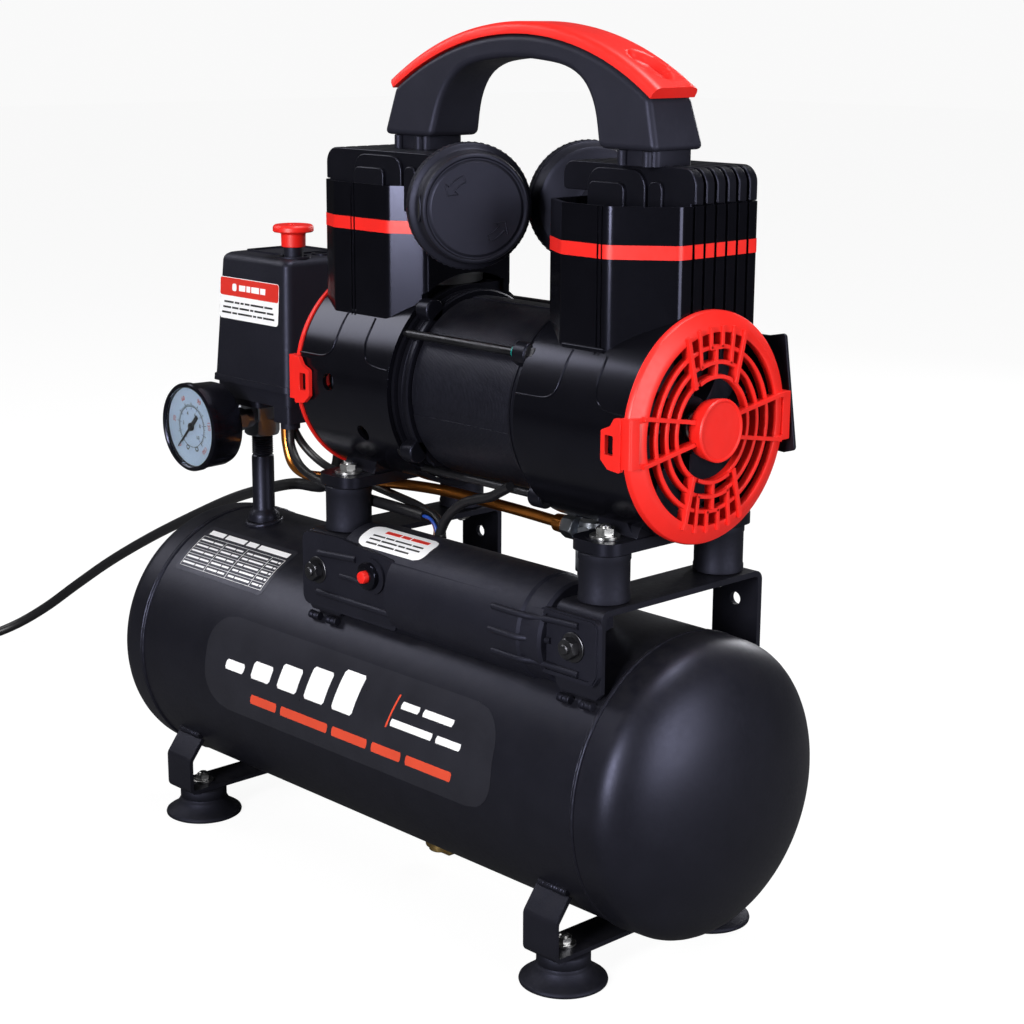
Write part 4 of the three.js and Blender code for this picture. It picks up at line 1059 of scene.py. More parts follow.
def make_motor():
    middle = RIGHT_END
    core = [(-37, 28), (-37, 47.2), (-36.7, 47.5), (36.7, 47.5), (37, 47.2), (37, 28), (-37, 28)]
    body = carve([turned("x", core, AXIS, 144)],
                 [rotated(block(-40, 40, -2.4, 2.4, MOTOR_Z + 46.9, MOTOR_Z + 50), "X", a,
                          AXIS) for a in (9, 99, 189, 279)])
    piece("stator_stack", [placed(body, middle)], "stack", bevel=0.15, replaces=("stator",))
    piece("motor_shaft", [placed(rod("x", 7, -116, 116, AXIS, 48, 0.6), middle)], "steel", "rotor",
          replaces=("rotor_shaft",))
    squirrel = [(-37, 7.3), (-37, 18), (-36.4, 26.6), (-33, 27.2), (33, 27.2), (36.4, 26.6), (37, 18),
                (37, 7.3), (-37, 7.3)]
    piece("rotor_body", [placed(turned("x", squirrel, AXIS, 80), middle)], "cast", "rotor",
          replaces=("rotor_core",), slot="laminations")
    for hand, side in (("right", 1), ("left", -1)):
        pin_z = MOTOR_Z + side * CRANK_THROW
        middle_s = side * CYLINDER_S
        disc = carve([rod("x", 15, middle_s - 5, middle_s + 5, (0, 0, pin_z), 72, 0.4)],
                     [rod("x", 7.3, middle_s - 20, middle_s + 20, AXIS, 48),
                      rod("x", 2.2, middle_s - 20, middle_s + 20, (0, 0, pin_z + side * 8.6), 24)])
        piece(f"eccentric_{hand}", [placed(disc, middle)], "steel", "rotor",
              replaces=(f"crank_disc_{hand}",))
        crown = pin_z + 82
        waist = [(-9, pin_z + 17), (-5.2, pin_z + 30), (-5.0, crown - 14), (-9, crown - 8.6),
                 (9, crown - 8.6), (5.0, crown - 14), (5.2, pin_z + 30), (9, pin_z + 17)]
        beam = carve([prism("x", rounded(waist, [0, 8, 8, 0, 0, 8, 8, 0]), middle_s - 4, middle_s + 4)],
                     [rod("x", 15.6, middle_s - 9, middle_s + 9, (0, 0, pin_z), 64),
                      block(middle_s + 2.2, middle_s + 6, -2.6, 2.6, pin_z + 26, crown - 16),
                      block(middle_s - 6, middle_s - 2.2, -2.6, 2.6, pin_z + 26, crown - 16)])
        seal = [(crown - 10, 0), (crown - 10, 21.2), (crown - 9.4, 22), (crown - 4.4, 22),
                (crown - 4.0, 21.0), (crown - 3.2, 21.0), (crown - 2.8, 22), (crown - 0.6, 22),
                (crown, 21.4), (crown, 0)]
        parts = [hoop("x", 15.5, 20, middle_s - 4, middle_s + 4, (0, 0, pin_z), 72), beam,
                 turned("z", seal, (middle_s, 0, 0), 72)]
        piece(f"connecting_rod_{hand}", all_placed(parts, middle), "cast", f"piston_{hand}",
              bevel=0.3, replaces=(f"piston_rod_{hand}",))

        hub = [(0, 7.3), (0, 13.2), (11, 14), (12, 13.2), (12, 7.3), (0, 7.3)]
        plate = [(0, 13), (0, 47.6), (0.5, 48), (1.5, 48), (2, 47.6), (2, 13), (0, 13)]
        fan = [turned("x", hub, AXIS, 56), turned("x", plate, AXIS, 96)]
        for k in range(8):
            rings = []
            for step in range(7):
                share = step / 6
                radius = 13.6 + 32.4 * share
                y, z = polar((0, MOTOR_Z), radius, 45 * k + 17 * share * share)
                out_y, out_z = polar((0, 0), BLADE_HALF, 45 * k + 17 * share * share + 90)
                rings.append([(1.2, y - out_y, z - out_z), (1.2, y + out_y, z + out_z),
                              (12 - 2.5 * share, y + out_y, z + out_z),
                              (12 - 2.5 * share, y - out_y, z - out_z)])
            fan.append(skin(rings))
        place = ENDS[hand] @ FAN_PLACE
        piece(f"fan_wheel_{hand}", all_placed(fan, place), "black", "rotor", bevel=0.25,
              replaces=(f"cooling_fan_{hand}",))


make_crankcases()
make_motor()

# ---------------------------------------------------------------- carrying handle

HANDLE_X = 73.0
HANDLE_PEAK = 467.6
THUMB_X = 149.5
HANDLE_HALF, HANDLE_RISE = 95.0, 29.6
HANDLE_RADIUS = (HANDLE_HALF ** 2 + HANDLE_RISE ** 2) / (2 * HANDLE_RISE)
HANDLE_FOOT = 409.0
HANDLE_SIDE = 16.5


def handle_arc(offset, start, end, steps=36):
    """Points of the handle's back in (z, x), from one angle off the upright to another."""
    return arc((HANDLE_PEAK - HANDLE_RADIUS, HANDLE_X), HANDLE_RADIUS - offset, start, end, steps)


def waisted(shape, foot=17.6, top=13.8):
    """Narrows the handle from half a width of foot at its feet to one of top at its peak."""
    points, faces = shape
    result = []
    for point in points:
        share = min(1.0, max(0.0, (point.z - HANDLE_FOOT) / (HANDLE_PEAK - HANDLE_FOOT)))
        half = foot + (top - foot) * (1 - (1 - share) ** 1.6)
        result.append(Vector((point.x, point.y * half / HANDLE_SIDE, point.z)))
    return result, faces


def make_handle():
    reach = math.degrees(math.asin(HANDLE_HALF / HANDLE_RADIUS))
    back = handle_arc(6.3, reach - 0.4, -reach + 0.4)
    arch = [(409, 13), (428, 18.5), (440, 27), (446.6, 40), (449.4, 60), (449.8, 73), (449.4, 86),
            (446.6, 106), (440, 119), (428, 127.5), (409, 133)]
    inner = [(p.x, p.y) for p in smooth_path([(z, x, 0) for z, x in arch], 4)]
    outline = [(409, 170.5), *back, (409, -24.5), *inner]
    slices = []
    for y in (-HANDLE_SIDE, -8, 0, 8, HANDLE_SIDE):
        slices.append([on_axis("y", y, z, x) for z, x in outline])
    body = waisted(skin(slices))
    piece("handle_arch", [body], "grip", bevel=3.2, replaces=("handle_body",), smooth=38, segments=4)
    plinths = []
    for side in (-1, 1):
        middle = HANDLE_X + side * 81
        plan = rect(middle - 13, middle + 13, -13, 13)
        plinths.append(prism("z", rounded(plan, 3), 401.3, 411))
        for px in (-8, 8):
            plinths.append(rod("z", 2.6, 401.3, 409, (middle + px, -13.4, 0), 24))
    piece("handle_plinths", plinths, "black", bevel=0.6, slot="handle_plastic")

    section = [(-HANDLE_SIDE, 6.0), (-HANDLE_SIDE, 3.0), (-15.6, 1.3), (-13.6, 0.3)]
    section += [(1.25 * k, 0.0) for k in range(-9, 10)]
    section += [(-y, depth) for y, depth in reversed(section[:4])]
    rings = []
    steps = 150
    for k in range(steps + 1):
        angle = -reach + 2 * reach * k / steps
        along = HANDLE_X + HANDLE_RADIUS * math.sin(math.radians(angle))
        ring = []
        for y, depth in section:
            spread = math.hypot((along - THUMB_X) / 13.5, y / 9.0)
            dip = 4.2 * (1 - eased(spread, 0.72, 1.0)) if depth == 0 else 0
            z, x = polar((HANDLE_PEAK - HANDLE_RADIUS, HANDLE_X), HANDLE_RADIUS - depth - dip, angle)
            ring.append((x, y, z))
        rings.append(ring)
    cover = waisted(skin(rings))
    piece("grip_cover", [cover], "red", replaces=("handle_grip_cover",), smooth=50)


make_handle()

# ---------------------------------------------------------------- gauge, valves and pipes

PORT_Z = 239.0
DIAL_Y = -59.8
BEHIND_DIAL = (RISER[0], 0, PORT_Z)


def figures(text, size, x, y, z, turn=0.0):
    """Flat figures that face the front, their middle at (x, z)."""
    curve = bpy.data.curves.new("figures", "FONT")
    curve.body = text
    curve.size = size
    curve.align_x = "CENTER"
    curve.align_y = "CENTER"
    curve.extrude = 0.05
    curve.resolution_u = 2
    obj = add_object("figures", curve)
    mesh = obj.evaluated_get(bpy.context.evaluated_depsgraph_get()).to_mesh()
    points = [Vector((vertex.co.x, -vertex.co.z, vertex.co.y)) for vertex in mesh.vertices]
    faces = [tuple(polygon.vertices) for polygon in mesh.polygons]
    bpy.data.objects.remove(obj)
    return shifted(rotated((points, faces), "Y", turn), x, y, z)


def dial_mark(degrees, inner, outer, width):
    """A printed line across the dial's scale; degrees run clockwise from the top."""
    mark = block(-width / 2, width / 2, DIAL_Y - 0.14, DIAL_Y + 0.05, inner, outer)
    return shifted(rotated(mark, "Y", degrees), *BEHIND_DIAL)


def make_gauge():
    case = [(-39, 0), (-39, 18), (-39.6, 21), (-41.5, 23.6), (-44, 24.4), (-58.6, 24.8), (-59.2, 25.6),
            (-62.2, 25.6), (-63, 25.0), (-63, 23.6), (-62.4, 23.0), (DIAL_Y + 0.1, 22.9), (DIAL_Y + 0.1, 0)]
    piece("gauge_shell", [turned("y", case, BEHIND_DIAL, 96)], "gloss", replaces=("gauge_case",))
    card = rod("y", 22.85, DIAL_Y, DIAL_Y + 0.3, BEHIND_DIAL, 96)
    piece("gauge_dial", [card], "dial")
    black, blue, red = [], [], []
    for k in range(51):
        degrees = -135 + 270 * k / 50
        long = k % 5 == 0
        black.append(dial_mark(degrees, 12.0, 14.2 if long else 13.1, 0.34 if long else 0.2))
        if k % 5 == 0:
            blue.append(dial_mark(degrees, 10.2, 11.4, 0.3))
    black.append(hoop("y", 11.75, 12.05, DIAL_Y - 0.13, DIAL_Y + 0.02, BEHIND_DIAL))
    for k in range(6):
        degrees = -135 + 54 * k
        z, x = polar((PORT_Z, RISER[0]), 17.2, degrees)
        red.append(figures(str(30 * k), 3.6, x, DIAL_Y - 0.1, z, degrees))
        z, x = polar((PORT_Z, RISER[0]), 8.2, degrees)
        black.append(figures(str(2 * k), 3.2, x, DIAL_Y - 0.1, z))
    for dx in (-4.4, 4.4):
        eye = (RISER[0] + dx, 0, PORT_Z - 12.5)
        black.append(hoop("y", 0.9, 1.5, DIAL_Y - 0.13, DIAL_Y + 0.02, eye, 32))
    piece("dial_scale", black, "ink")
    piece("dial_inner_scale", blue, "blue")
    piece("dial_outer_figures", red, "label_red")
    glass = rod("y", 23.0, -62.1, -61.7, BEHIND_DIAL, 96)
    piece("gauge_glass", [glass], "lens")

    hub = turned("y", [(-61.4, 0), (-61.4, 1.6), (-61.0, 2.4), (-60.1, 2.4), (-60.1, 0)], (0, 0, 0), 40)
    pointer = prism("y", [(18.5, -0.16), (18.5, 0.16), (0, 0.85), (-2, 0.9), (-3, 1.2), (-9.5, 1.2),
                          (-9.5, -1.2), (-3, -1.2), (-2, -0.9), (0, -0.85)], -61.0, -60.5)
    needle = [shifted(rotated(part, "Y", -135), *BEHIND_DIAL) for part in (hub, pointer)]
    piece("gauge_pointer", needle, "ink", "needle", bevel=0.08, replaces=("gauge_needle",),
          slot="needle_paint")


def make_fittings():
    x, y = RISER
    pipe = [(175.95, 0), (175.95, 9.3), (178.6, 9.3), (180.6, 8.9), (182.6, 7.2), (184.0, 6.6), (214, 6.6),
            (215.4, 6.4), (216.2, 5.7)]
    for k in range(9):
        low = 216.6 + 1.3 * k
        pipe += [(low, 5.8), (low + 0.5, 6.3), (low + 0.8, 6.3), (low + 1.2, 5.8)]
    pipe += [(228.2, 5.8), (228.2, 0)]
    piece("riser_tube", [turned("z", pipe, (x, y, 0), 64)], "tank", replaces=("riser_pipe",))

    nut = hexagon("z", 19.0, 228.5, 238.5, (x, y, 0), 12)
    cross = prism("z", rounded(rect(x - 9.2, x + 9.2, y - 9.2, y + 9.2), 1.6), 238.0, 246.7)
    necks = [rod("y", 5.5, -38.7, y, (x, 0, PORT_Z), 40), hexagon("y", 12.5, -31, -24, (x, 0, PORT_Z)),
             rod("x", 6, x - 19, x, (0, y, PORT_Z), 40), rod("y", 6, y, 8, (x, 0, PORT_Z), 40)]
    for side in (-1, 1):
        necks.append(rod("z", 3.0, 240, 247.6, (x + side * 6.0, y, 0), 24, 0.5))
    piece("manifold_block", [carve([nut, cross]), *necks], "nickel", bevel=0.3, replaces=("port_manifold",))

    valve = [(8.3, 0), (8.3, 6.6), (15.4, 6.6), (16.2, 5.6), (17, 6.2)]
    for k in range(5):
        low = 17.4 + 2.8 * k
        valve += [(low, 6.2), (low + 1.9, 6.2), (low + 2.1, 5.6), (low + 2.6, 5.6)]
    valve += [(32, 6.2), (33, 5.6), (33, 2), (25, 2), (25, 0)]
    piece("safety_valve_body",
          [turned("y", valve, (x, 0, PORT_Z), 56), hexagon("y", 14, 8.3, 14.6, (x, 0, PORT_Z), 8)], "brass",
          replaces=("safety_valve",))
    circle = [Vector((x + 7 * c, 48.4, PORT_Z + 7 * s)) for c, s in waves(56)]
    ring = sweep(circle, 1.0, 16, closed=True)
    stem = turned("y", [(27, 0), (27, 1.5), (38.4, 1.5), (39, 2.4), (41.6, 2.4), (42.2, 1.8), (42.2, 0)],
                  (x, 0, PORT_Z), 32)
    piece("relief_pull_ring", [ring, stem], "bright", "valve_ring", replaces=("safety_valve_ring",))

    mouth = -204
    nozzle = [(mouth, 5), (mouth, 6.8), (mouth + 0.6, 7.4), (-175, 7.4), (-174.4, 8.4), (x - 19.3, 8.4),
              (x - 19.3, 0), (mouth + 22, 0), (mouth + 22, 5), (mouth, 5)]
    piece("coupler_body",
          [turned("x", nozzle, (0, y, PORT_Z), 64), hexagon("x", 17.6, -173.6, -167, (0, y, PORT_Z))],
          "brass", replaces=("outlet_coupler",))
    sleeve = [(-201, 7.8), (-201, 10.6), (-200.2, 11.4), (-197, 11.8), (-195.6, 11.8), (-195.0, 10.9)]
    for k in range(5):
        low = -194.4 + 2.2 * k
        sleeve += [(low, 10.9), (low + 0.3, 11.5), (low + 1.4, 11.5), (low + 1.7, 10.9)]
    sleeve += [(-183, 10.9), (-182.4, 11.8), (-180, 11.8), (-179, 11.0), (-179, 7.8), (-201, 7.8)]
    piece("coupler_grip", [turned("x", sleeve, (0, y, PORT_Z), 80)], "nickel", "coupler_collar",
          replaces=("coupler_sleeve",))

    vx, vy = 118.0, -1.5
    centre = (vx, vy, 0)
    base = turned("z", [(175.95, 0), (175.95, 8), (179, 8), (179.6, 7.2), (195, 7.2), (196, 7.8),
                        (196.2, 0)], centre, 56)
    parts = [base, hexagon("z", 16.4, 196, 210, centre, 14),
             turned("z", [(209, 0), (209, 6.5), (221.6, 6.5), (222.5, 5.8), (222.5, 0)], centre, 48),
             hexagon("z", 13.6, 212, 219.5, centre, 8)]
    piece("check_valve_body", parts, "nickel", bevel=0.25, replaces=("check_valve",))

    route = [(-124, -10, 251.7), (-124, -10, 238), (-123, -10, 226), (-118, -10, 215), (-106, -10, 210.5),
             (-85, -10, 212), (-40, -10, 217), (12, -10, 221), (60, -9, 220.5), (92, -6, 218.5),
             (108, -5, 217.2)]
    piece("bleed_tube", [wire(route, 3.0, 10, 24)], "copper", replaces=("unloader_tube",))
    union = [hexagon("z", 9.0, 243, 246.7, (-124, -10, 0), 10),
             hexagon("x", 11.0, 103, 111, (0, -4.6, 217.2), 10)]
    piece("bleed_tube_nuts", union, "nickel", bevel=0.2)
    olive = [(96.5, 3.1), (97, 4.6), (103.2, 5.0), (103.2, 3.1), (96.5, 3.1)]
    piece("bleed_tube_sleeve", [turned("x", olive, (0, -5.4, 217.8), 40)], "copper")


# ---------------------------------------------------------------- pressure switch

SWITCH_X = (-163.5, -100.5)
SWITCH_Y = (-25.0, 33.0)
KNOB = (-112.0, -11.0)


def switch_plan(z, grow=0.0, corner=5.0):
    """The cover's plan at one height: wider towards its foot."""
    flare = 4.5 * (336 - z) / 75 + grow
    x0, x1 = SWITCH_X[0] - flare, SWITCH_X[1] + flare
    y0, y1 = SWITCH_Y[0] - flare, SWITCH_Y[1] + flare
    outline = rounded(rect(x0, x1, y0, y1), corner, 7)
    return [(x, y, z) for x, y in outline]


def switch_front(x, z, lift):
    """A point on the cover's front face."""
    return Vector((x, SWITCH_Y[0] - 4.5 * (336 - z) / 75 - lift, z))


def front_film(x0, x1, z0, z1, lift, corner=0.0):
    """A thin sheet on the cover's front face."""
    outline = rect(x0, x1, z0, z1)
    if corner:
        outline = rounded(outline, corner)
    return skin([[switch_front(x, z, depth) for x, z in outline] for depth in (lift - 0.12, lift)])


def make_switch():
    rings = [switch_plan(261)]
    rings += [switch_plan(z) for z in (290, 320, 331.6)]
    for degrees in (22.5, 45, 67.5, 90):
        a = math.radians(degrees)
        rings.append(switch_plan(331.6 + 4.4 * math.sin(a), -4.4 * (1 - math.cos(a)), 5.0))
    hollow = skin([switch_plan(260, -2.2, 3.5), switch_plan(333.6, -2.2, 3.5)])
    cover = carve([skin(rings), skin([switch_plan(264.5, 0.9, 5.4), switch_plan(261, 0.9, 5.4)])],
                  [hollow, rod("z", 7.8, 320, 340, (*KNOB, 0), 56)])
    rim = []
    for x0, x1, y0, y1 in ((-157, -121, -12, 26), (-117, -106, 4, 26)):
        outline = rounded(rect(x0, x1, y0, y1), 3)
        inner = rounded(rect(x0 + 1.6, x1 - 1.6, y0 + 1.6, y1 - 1.6), 2)
        rim.append(carve([prism("z", outline, 335.5, 337.0)], [prism("z", inner, 335, 338)]))
    collar = hoop("z", 7.9, 10.0, 335.6, 336.8, (*KNOB, 0), 56)
    piece("switch_housing", [cover, *rim, collar], "black", bevel=0.3, replaces=("switch_cover",))

    tray = prism("z", rounded(rect(-166.5, -97.5, -28, 36), 4), 252, 260.7)
    blocks = [prism("z", rounded(rect(-162.5, -132, -24, 8), 3), 247, 253),
              prism("z", rounded(rect(-113, -97.5, -28, -14), 2.5), 243, 253),
              block(-157.5, -124.5, -17, 27, 260, 305)]
    base = carve([tray, *blocks], [rod("z", 3.6, 240, 250, (-105, -21, 0), 32)])
    gland = hoop("z", 3.7, 5.6, 239.4, 243.2, (-105, -21, 0), 40)
    piece("switch_tray", [base, gland], "black", bevel=0.7, replaces=("switch_base",))
    screws = []
    for x, y in ((-159, 30), (-104, 30), (-159, -20)):
        screw = [(250.4, 0), (250.4, 2.2), (251.2, 3.0), (252.2, 3.0), (252.2, 0)]
        screws.append(turned("z", screw, (x, y, 0), 32))
    piece("switch_screws", screws, "bright", bevel=0.15)

    stem = rod("z", 5.6, 321, 342.4, (*KNOB, 0), 48)
    piece("knob_stem", [stem], "black", "knob")
    cap = [(342, 0), (342, 6.6), (342.4, 6.9), (349.2, 7.0), (350, 7.8), (350.4, 11.0), (351, 11.6),
           (353, 11.6), (354, 11.1), (354.5, 10.3), (354.5, 8.2), (354.0, 6.4), (353.8, 0)]
    dots = [turned("z", [(353.4, 0), (353.4, 1.5), (354.3, 1.3), (354.5, 0.8), (354.5, 0)],
                   (KNOB[0] + dx, KNOB[1] + dy, 0), 24) for dx, dy in ((-3.6, 1.4), (3.6, -1.4))]
    piece("knob_cap", [turned("z", cap, (*KNOB, 0), 72), *dots], "red", "knob", replaces=("switch_knob",))

    piece("switch_label", [front_film(-162.5, -106.5, 298, 322, 0.14, 2.2)], "white")
    piece("switch_label_band", [front_film(-162.2, -106.8, 311.4, 321.7, 0.22, 1.6)], "label_red")
    bars = [front_film(-150.5, -146.5, 314.4, 318.6, 0.3, 1.2)]
    words(bars, front_film, -144, -119, 314.8, 318.2, 0.3, (5, 3, 6, 4))
    piece("switch_label_title", bars, "white")
    lines = []
    for row, shares in enumerate(((6, 3, 2, 3, 8, 5), (5, 4, 6, 2, 7, 4), (6, 3, 9, 2, 3, 7))):
        low = 307.2 - 3.1 * row
        words(lines, front_film, -158 - row, -112 + row, low, low + 1.1, 0.24, shares)
    piece("switch_label_lines", lines, "ink")


def words(bars, film, left, right, low, high, lift, shares, gap=1.1, corner=0.0):
    """Adds one row of short printed bars of the given relative lengths."""
    unit = (right - left - gap * (len(shares) - 1)) / sum(shares)
    start = left
    for share in shares:
        bars.append(film(start, start + share * unit, low, high, lift, corner))
        start += share * unit + gap


# ---------------------------------------------------------------- capacitor housing

COVER_Y, COVER_Z, COVER_RADIUS = -40.4, 176.8, 27.7
RESET = (15.7, 183.5)
FILM = 0.1


def rib(points, wide=1.5):
    """A raised, rounded moulding line."""
    return wire(points, wide, 8, 14)


def film_section(x0, x1, up, tall, lift, corner):
    """A film's section at one height, in (x, depth), narrower where its corners are rounded."""
    edge = min(up, tall - up)
    inset = corner - math.sqrt(corner ** 2 - (corner - edge) ** 2) if edge < corner else 0
    return rect(x0 + inset, x1 - inset, lift - FILM, lift)


def cover_film(x0, x1, low, high, lift, corner=0.0):
    """A thin sheet on the barrel of the cover; low and high are degrees up from the front."""
    rings = []
    steps = 14
    tall = math.radians(high - low) * COVER_RADIUS
    for k in range(steps + 1):
        up = tall * k / steps
        a = math.radians(low) + up / COVER_RADIUS
        ring = []
        for x, depth in film_section(x0, x1, up, tall, lift, corner):
            radius = COVER_RADIUS + depth
            ring.append((x, COVER_Y - radius * math.cos(a), COVER_Z + radius * math.sin(a)))
        rings.append(ring)
    return skin(rings)


def make_capacitor_housing():
    y, z, radius = COVER_Y, COVER_Z, COVER_RADIUS
    barrel = [(-12, 0), (-12, radius - 3), (-11, radius - 1), (-9, radius), (132, radius),
              (133.4, radius - 1.2), (145.5, radius - 1.2), (147, radius - 2.6), (147, 0)]
    inside = [(-10, 0), (-10, radius - 2), (145, radius - 3.2), (145, 0)]
    shell = carve([turned("x", barrel, (0, y, z), 120)],
                  [turned("x", inside, (0, y, z), 96), rod("x", 77.6, -14, 150, (0, 0, TANK_Z), 160),
                   block(-14, 35, -90, -61.7, 140, 215)])
    step = carve([rod("x", radius, 33, 35.3, (0, y, z), 120)], [block(0, 60, -59.0, 0, 130, 215),
                                                               block(0, 60, -90, 0, 130, 156)])
    left = prism("y", rounded([(157, -42.5), (157, 35.2), (195, 35.2), (198.5, -12), (197.5, -42.5)],
                              [5, 2, 2, 2, 5]), -62.1, -59.2)
    right = prism("y", rounded([(161, 140), (161, 178), (166, 181.5), (194, 181.5), (194, 143)],
                               [2, 3, 3, 4, 3]), -61.7, -59.0)
    inner = prism("y", rounded([(163.4, 146), (163.4, 176.4), (167.4, 179), (191.6, 179), (191.6, 147)],
                               [2, 2, 2, 3, 2]), -63, -61.2)
    rim = carve([prism("y",
                       rounded([(161.8, 144), (161.8, 177.6), (166.4, 180.8), (193.2, 180.8), (193.2, 145)],
                                    [2, 3, 3, 4, 3]), -62.6, -61.6)], [inner])
    bolts_at = ((-29.5, 177.6), (165.2, 178.2))
    holes = [rod("y", 3.2, -70, -50, (bx, 0, bz), 32) for bx, bz in bolts_at]
    holes.append(rod("y", 5.6, -70, -50, (RESET[0], 0, RESET[1]), 40))
    body = carve([shell, step, left, right], holes)
    ribs = [rib([(-28.6, -61.8, 187.4), (-20, -61.8, 187.9), (3.2, -61.8, 189.6)], 1.9),
            rib([(-30, -61.8, 165.4), (0, -61.8, 165.2), (36, -61.8, 165.4)], 1.9),
            rib([(-10, -61.8, 178.2), (2, -61.8, 178.0), (9, -61.8, 176.6)], 1.5)]
    for out, end in ((11.5, (168.5, 189.2)), (0.5, (150, 178.0)), (-11.0, (169, 165.4))):
        depth = math.sqrt(radius ** 2 - out ** 2)
        ribs.append(rib([(113, y - depth + 0.3, z + out), (131, y - depth + 0.1, z + out),
                         (141, -63.4, z + out * 0.98), (152 if out != 0.5 else 146, -62.0,
                                                        (z + out + end[1]) / 2),
                         (end[0], -61.8, end[1])], 1.7))
    boss = hoop("y", 6.0, 9.6, -63.6, -61.4, (RESET[0] + 2.0, 0, RESET[1]), 56)
    piece("capacitor_housing", [body, rim, *ribs, boss], "black", bevel=0.5, replaces=("capacitor_cover",),
          smooth=40)

    heads = []
    for bx, bz in bolts_at:
        heads += bolt("y", (bx, -61.7, bz), 9.6, 4.6, 7.4, sign=-1)
    piece("housing_bolts", heads, "zinc", bevel=0.25)

    can = [(42, 0), (42, 13.4), (43, 14.6), (44.4, 15), (116, 15), (117.4, 14.4), (118, 13.2), (118, 0)]
    tags = [block(35.4, 42.4, -50 + dy - 0.4, -50 + dy + 0.4, 181, 186.5) for dy in (0, 8)]
    piece("motor_capacitor", [turned("x", can, (0, -46, 183.5), 72), *tags], "can", replaces=("capacitor",))
    middle = (RESET[0], 0, RESET[1])
    collar = [(-66.5, 3.7), (-66.5, 6.2), (-66.0, 7.2), (-65.2, 7.6), (-62.2, 7.6), (-62.0, 7.2),
              (-62.0, 5.2), (-58.4, 5.2), (-58.4, 8), (-44, 8), (-44, 0), (-55, 0), (-55, 3.7),
              (-66.5, 3.7)]
    piece("overload_switch", [turned("y", collar, middle, 64)], "gloss", replaces=("overload_protector",),
          slot="black_plastic")
    button = [(-69.5, 0), (-69.5, 2.5), (-69.2, 3.1), (-68.6, 3.3), (-58.5, 3.3), (-58.5, 0)]
    piece("overload_button", [turned("y", button, middle, 48)], "red", "reset_button",
          replaces=("overload_button",))

    piece("cover_label", [cover_film(-1, 52, 47, 84, 0.2, 6)], "white")
    title = []
    words(title, cover_film, 12, 46, 72, 77, 0.3, (7, 4, 8))
    piece("cover_label_title", title, "label_red")
    lines = []
    for row, shares in enumerate(((6, 4, 8, 5), (5, 7, 3, 6), (4, 6, 5))):
        words(lines, cover_film, 6, 46 - 6 * (row == 2), 64 - 6 * row, 66.2 - 6 * row, 0.3, shares)
    piece("cover_label_lines", lines, "ink")


# ---------------------------------------------------------------- cables, plate and tank prints


def make_cables():
    pair = [[(-105, -21, 245), (-105.5, -21, 236), (-103, -22, 228), (-92, -24, 219), (-72, -27, 215),
             (-45, -29, 213.4), (-22, -30, 212.6)],
            [(-105.5, -19, 245), (-107, -18, 240), (-103, -12, 227), (-88, -8, 217.5), (-60, -8, 214.6),
             (-20, -14, 213), (10, -22, 213), (30, -27, 210), (36, -30, 202)]]
    parts = [wire(pair[0], 2.5, 8, 20), wire(pair[1], 2.3, 8, 20),
             wire([(-24, -30, 212.6), (0, -30, 212.2), (22, -30, 211.4)], 3.1, 8, 20)]
    third = [(92, -34, 240), (82, -32, 235), (72.8, -30, 230.7), (60, -30, 227), (50, -30, 222.5),
             (40, -30, 214), (34.5, -30, 205), (33, -30, 201)]
    parts.append(wire(third, 2.6, 8, 20))
    piece("inner_cables", parts, "lead", smooth=60)
    blue = [(20, -30.6, 211.6), (27, -31, 211.4), (31.5, -31, 208), (33, -31, 202.5)]
    brown = [(20, -29, 210.8), (26, -29, 210), (29.5, -29.4, 206), (30, -30, 202.5)]
    piece("blue_wire", [wire(blue, 0.95, 8, 14)], "blue", smooth=60)
    piece("brown_wire", [wire(brown, 0.95, 8, 14)], "brown", smooth=60)


def make_side_plate():
    outline = rounded([(317.2, 160), (317.2, 178.9), (319.4, 189.6), (262.1, 198), (260, 191.1),
                       (262, 160)], [3, 0, 2, 2, 2, 3])
    plate = prism("y", outline, 58.6, 60.4)
    feet = [rod("y", 4, 50, 59, (168, 0, z), 32) for z in (274, 300)]
    heads = []
    for z in (274, 300):
        heads += bolt("y", (168, 60.4, z), 6.5, 2.8, 4.8)
    piece("side_plate", [plate, *feet], "frame", bevel=0.3)
    piece("side_plate_screws", heads, "zinc", bevel=0.2)


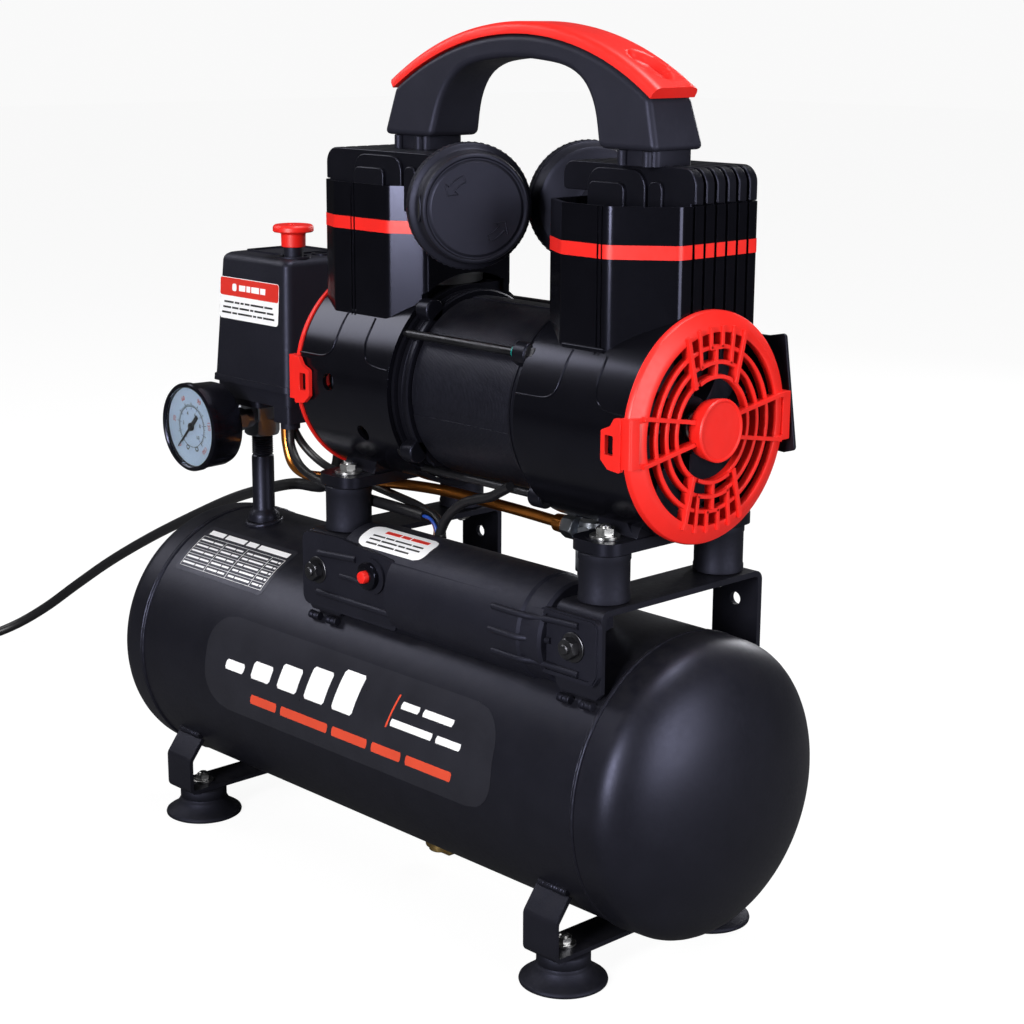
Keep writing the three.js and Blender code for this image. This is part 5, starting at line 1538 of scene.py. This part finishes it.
def tank_film(x0, x1, low, high, lift, corner=0.0, lean=0.0):
    """A thin sheet on the tank's front; low and high are degrees up, lean shifts its top to the right."""
    tall = math.radians(high - low) * TANK_RADIUS
    steps = max(2, round((high - low) / 1.2))
    rings = []
    for k in range(steps + 1):
        up = tall * k / steps
        degrees = low + (high - low) * k / steps
        section = film_section(x0, x1, up, tall, lift, corner)
        rings.append([on_tank(x + lean * up, degrees, depth) for x, depth in section])
    return skin(rings)


def leaning(x0, x1, low, high, lift, corner=0.0):
    return tank_film(x0, x1, low, high, lift, corner, 0.28)


def make_tank_prints():
    piece("tank_panel", [tank_film(-117, 124, -11, 30, 0.12, 20)], "panel")
    emblem = []
    for k in range(5):
        emblem.append(leaning(-98 + 24 * k, -81 + 24 * k, 7.5, 12 + 3.2 * k, 0.22, 1.2))
    piece("tank_emblem", emblem, "white")
    piece("tank_divider", [tank_film(42.6, 43.8, 8.5, 22.5, 0.22, 0, 0.36)], "print_red")
    small = []
    words(small, leaning, 52, 92, 17.4, 20.4, 0.22, (3, 5), 3, 0.5)
    words(small, leaning, 46, 100, 9.6, 12.6, 0.22, (7, 4), 3, 0.5)
    piece("tank_small_bars", small, "white")
    line = []
    words(line, leaning, -74, 94, -3.6, 0.6, 0.22, (4, 7, 5, 4, 6), 4, 0.6)
    piece("tank_red_bars", line, "print_red")

    piece("rating_plate", [tank_film(-173, -88, 41.5, 68, 0.12, 2)], "panel")
    columns = ((-169, -148, (4, 3)), (-145, -128, (3, 2)), (-124, -104, (2, 5)), (-101, -92, (3, 1)))
    rows = []
    words(rows, tank_film, -168, -92, 62.6, 65.4, 0.2, (3, 4, 2, 6), 2)
    for k in range(5):
        low = 58.4 - 3.3 * k
        for left, right, shares in columns:
            words(rows, tank_film, left, right, low, low + 0.9, 0.2, shares)
        rows.append(tank_film(-170, -91, low - 1.4, low - 1.25, 0.2))
    rows.append(tank_film(-170, -91, 60.9, 61.05, 0.2))
    for x in (-170, -146.6, -126, -102.6, -91):
        rows.append(tank_film(x, x + 0.25, 43.8, 61.0, 0.2))
    piece("rating_plate_lines", rows, "white")


make_gauge()
make_fittings()
make_switch()
make_capacitor_housing()
make_cables()
make_side_plate()
make_tank_prints()
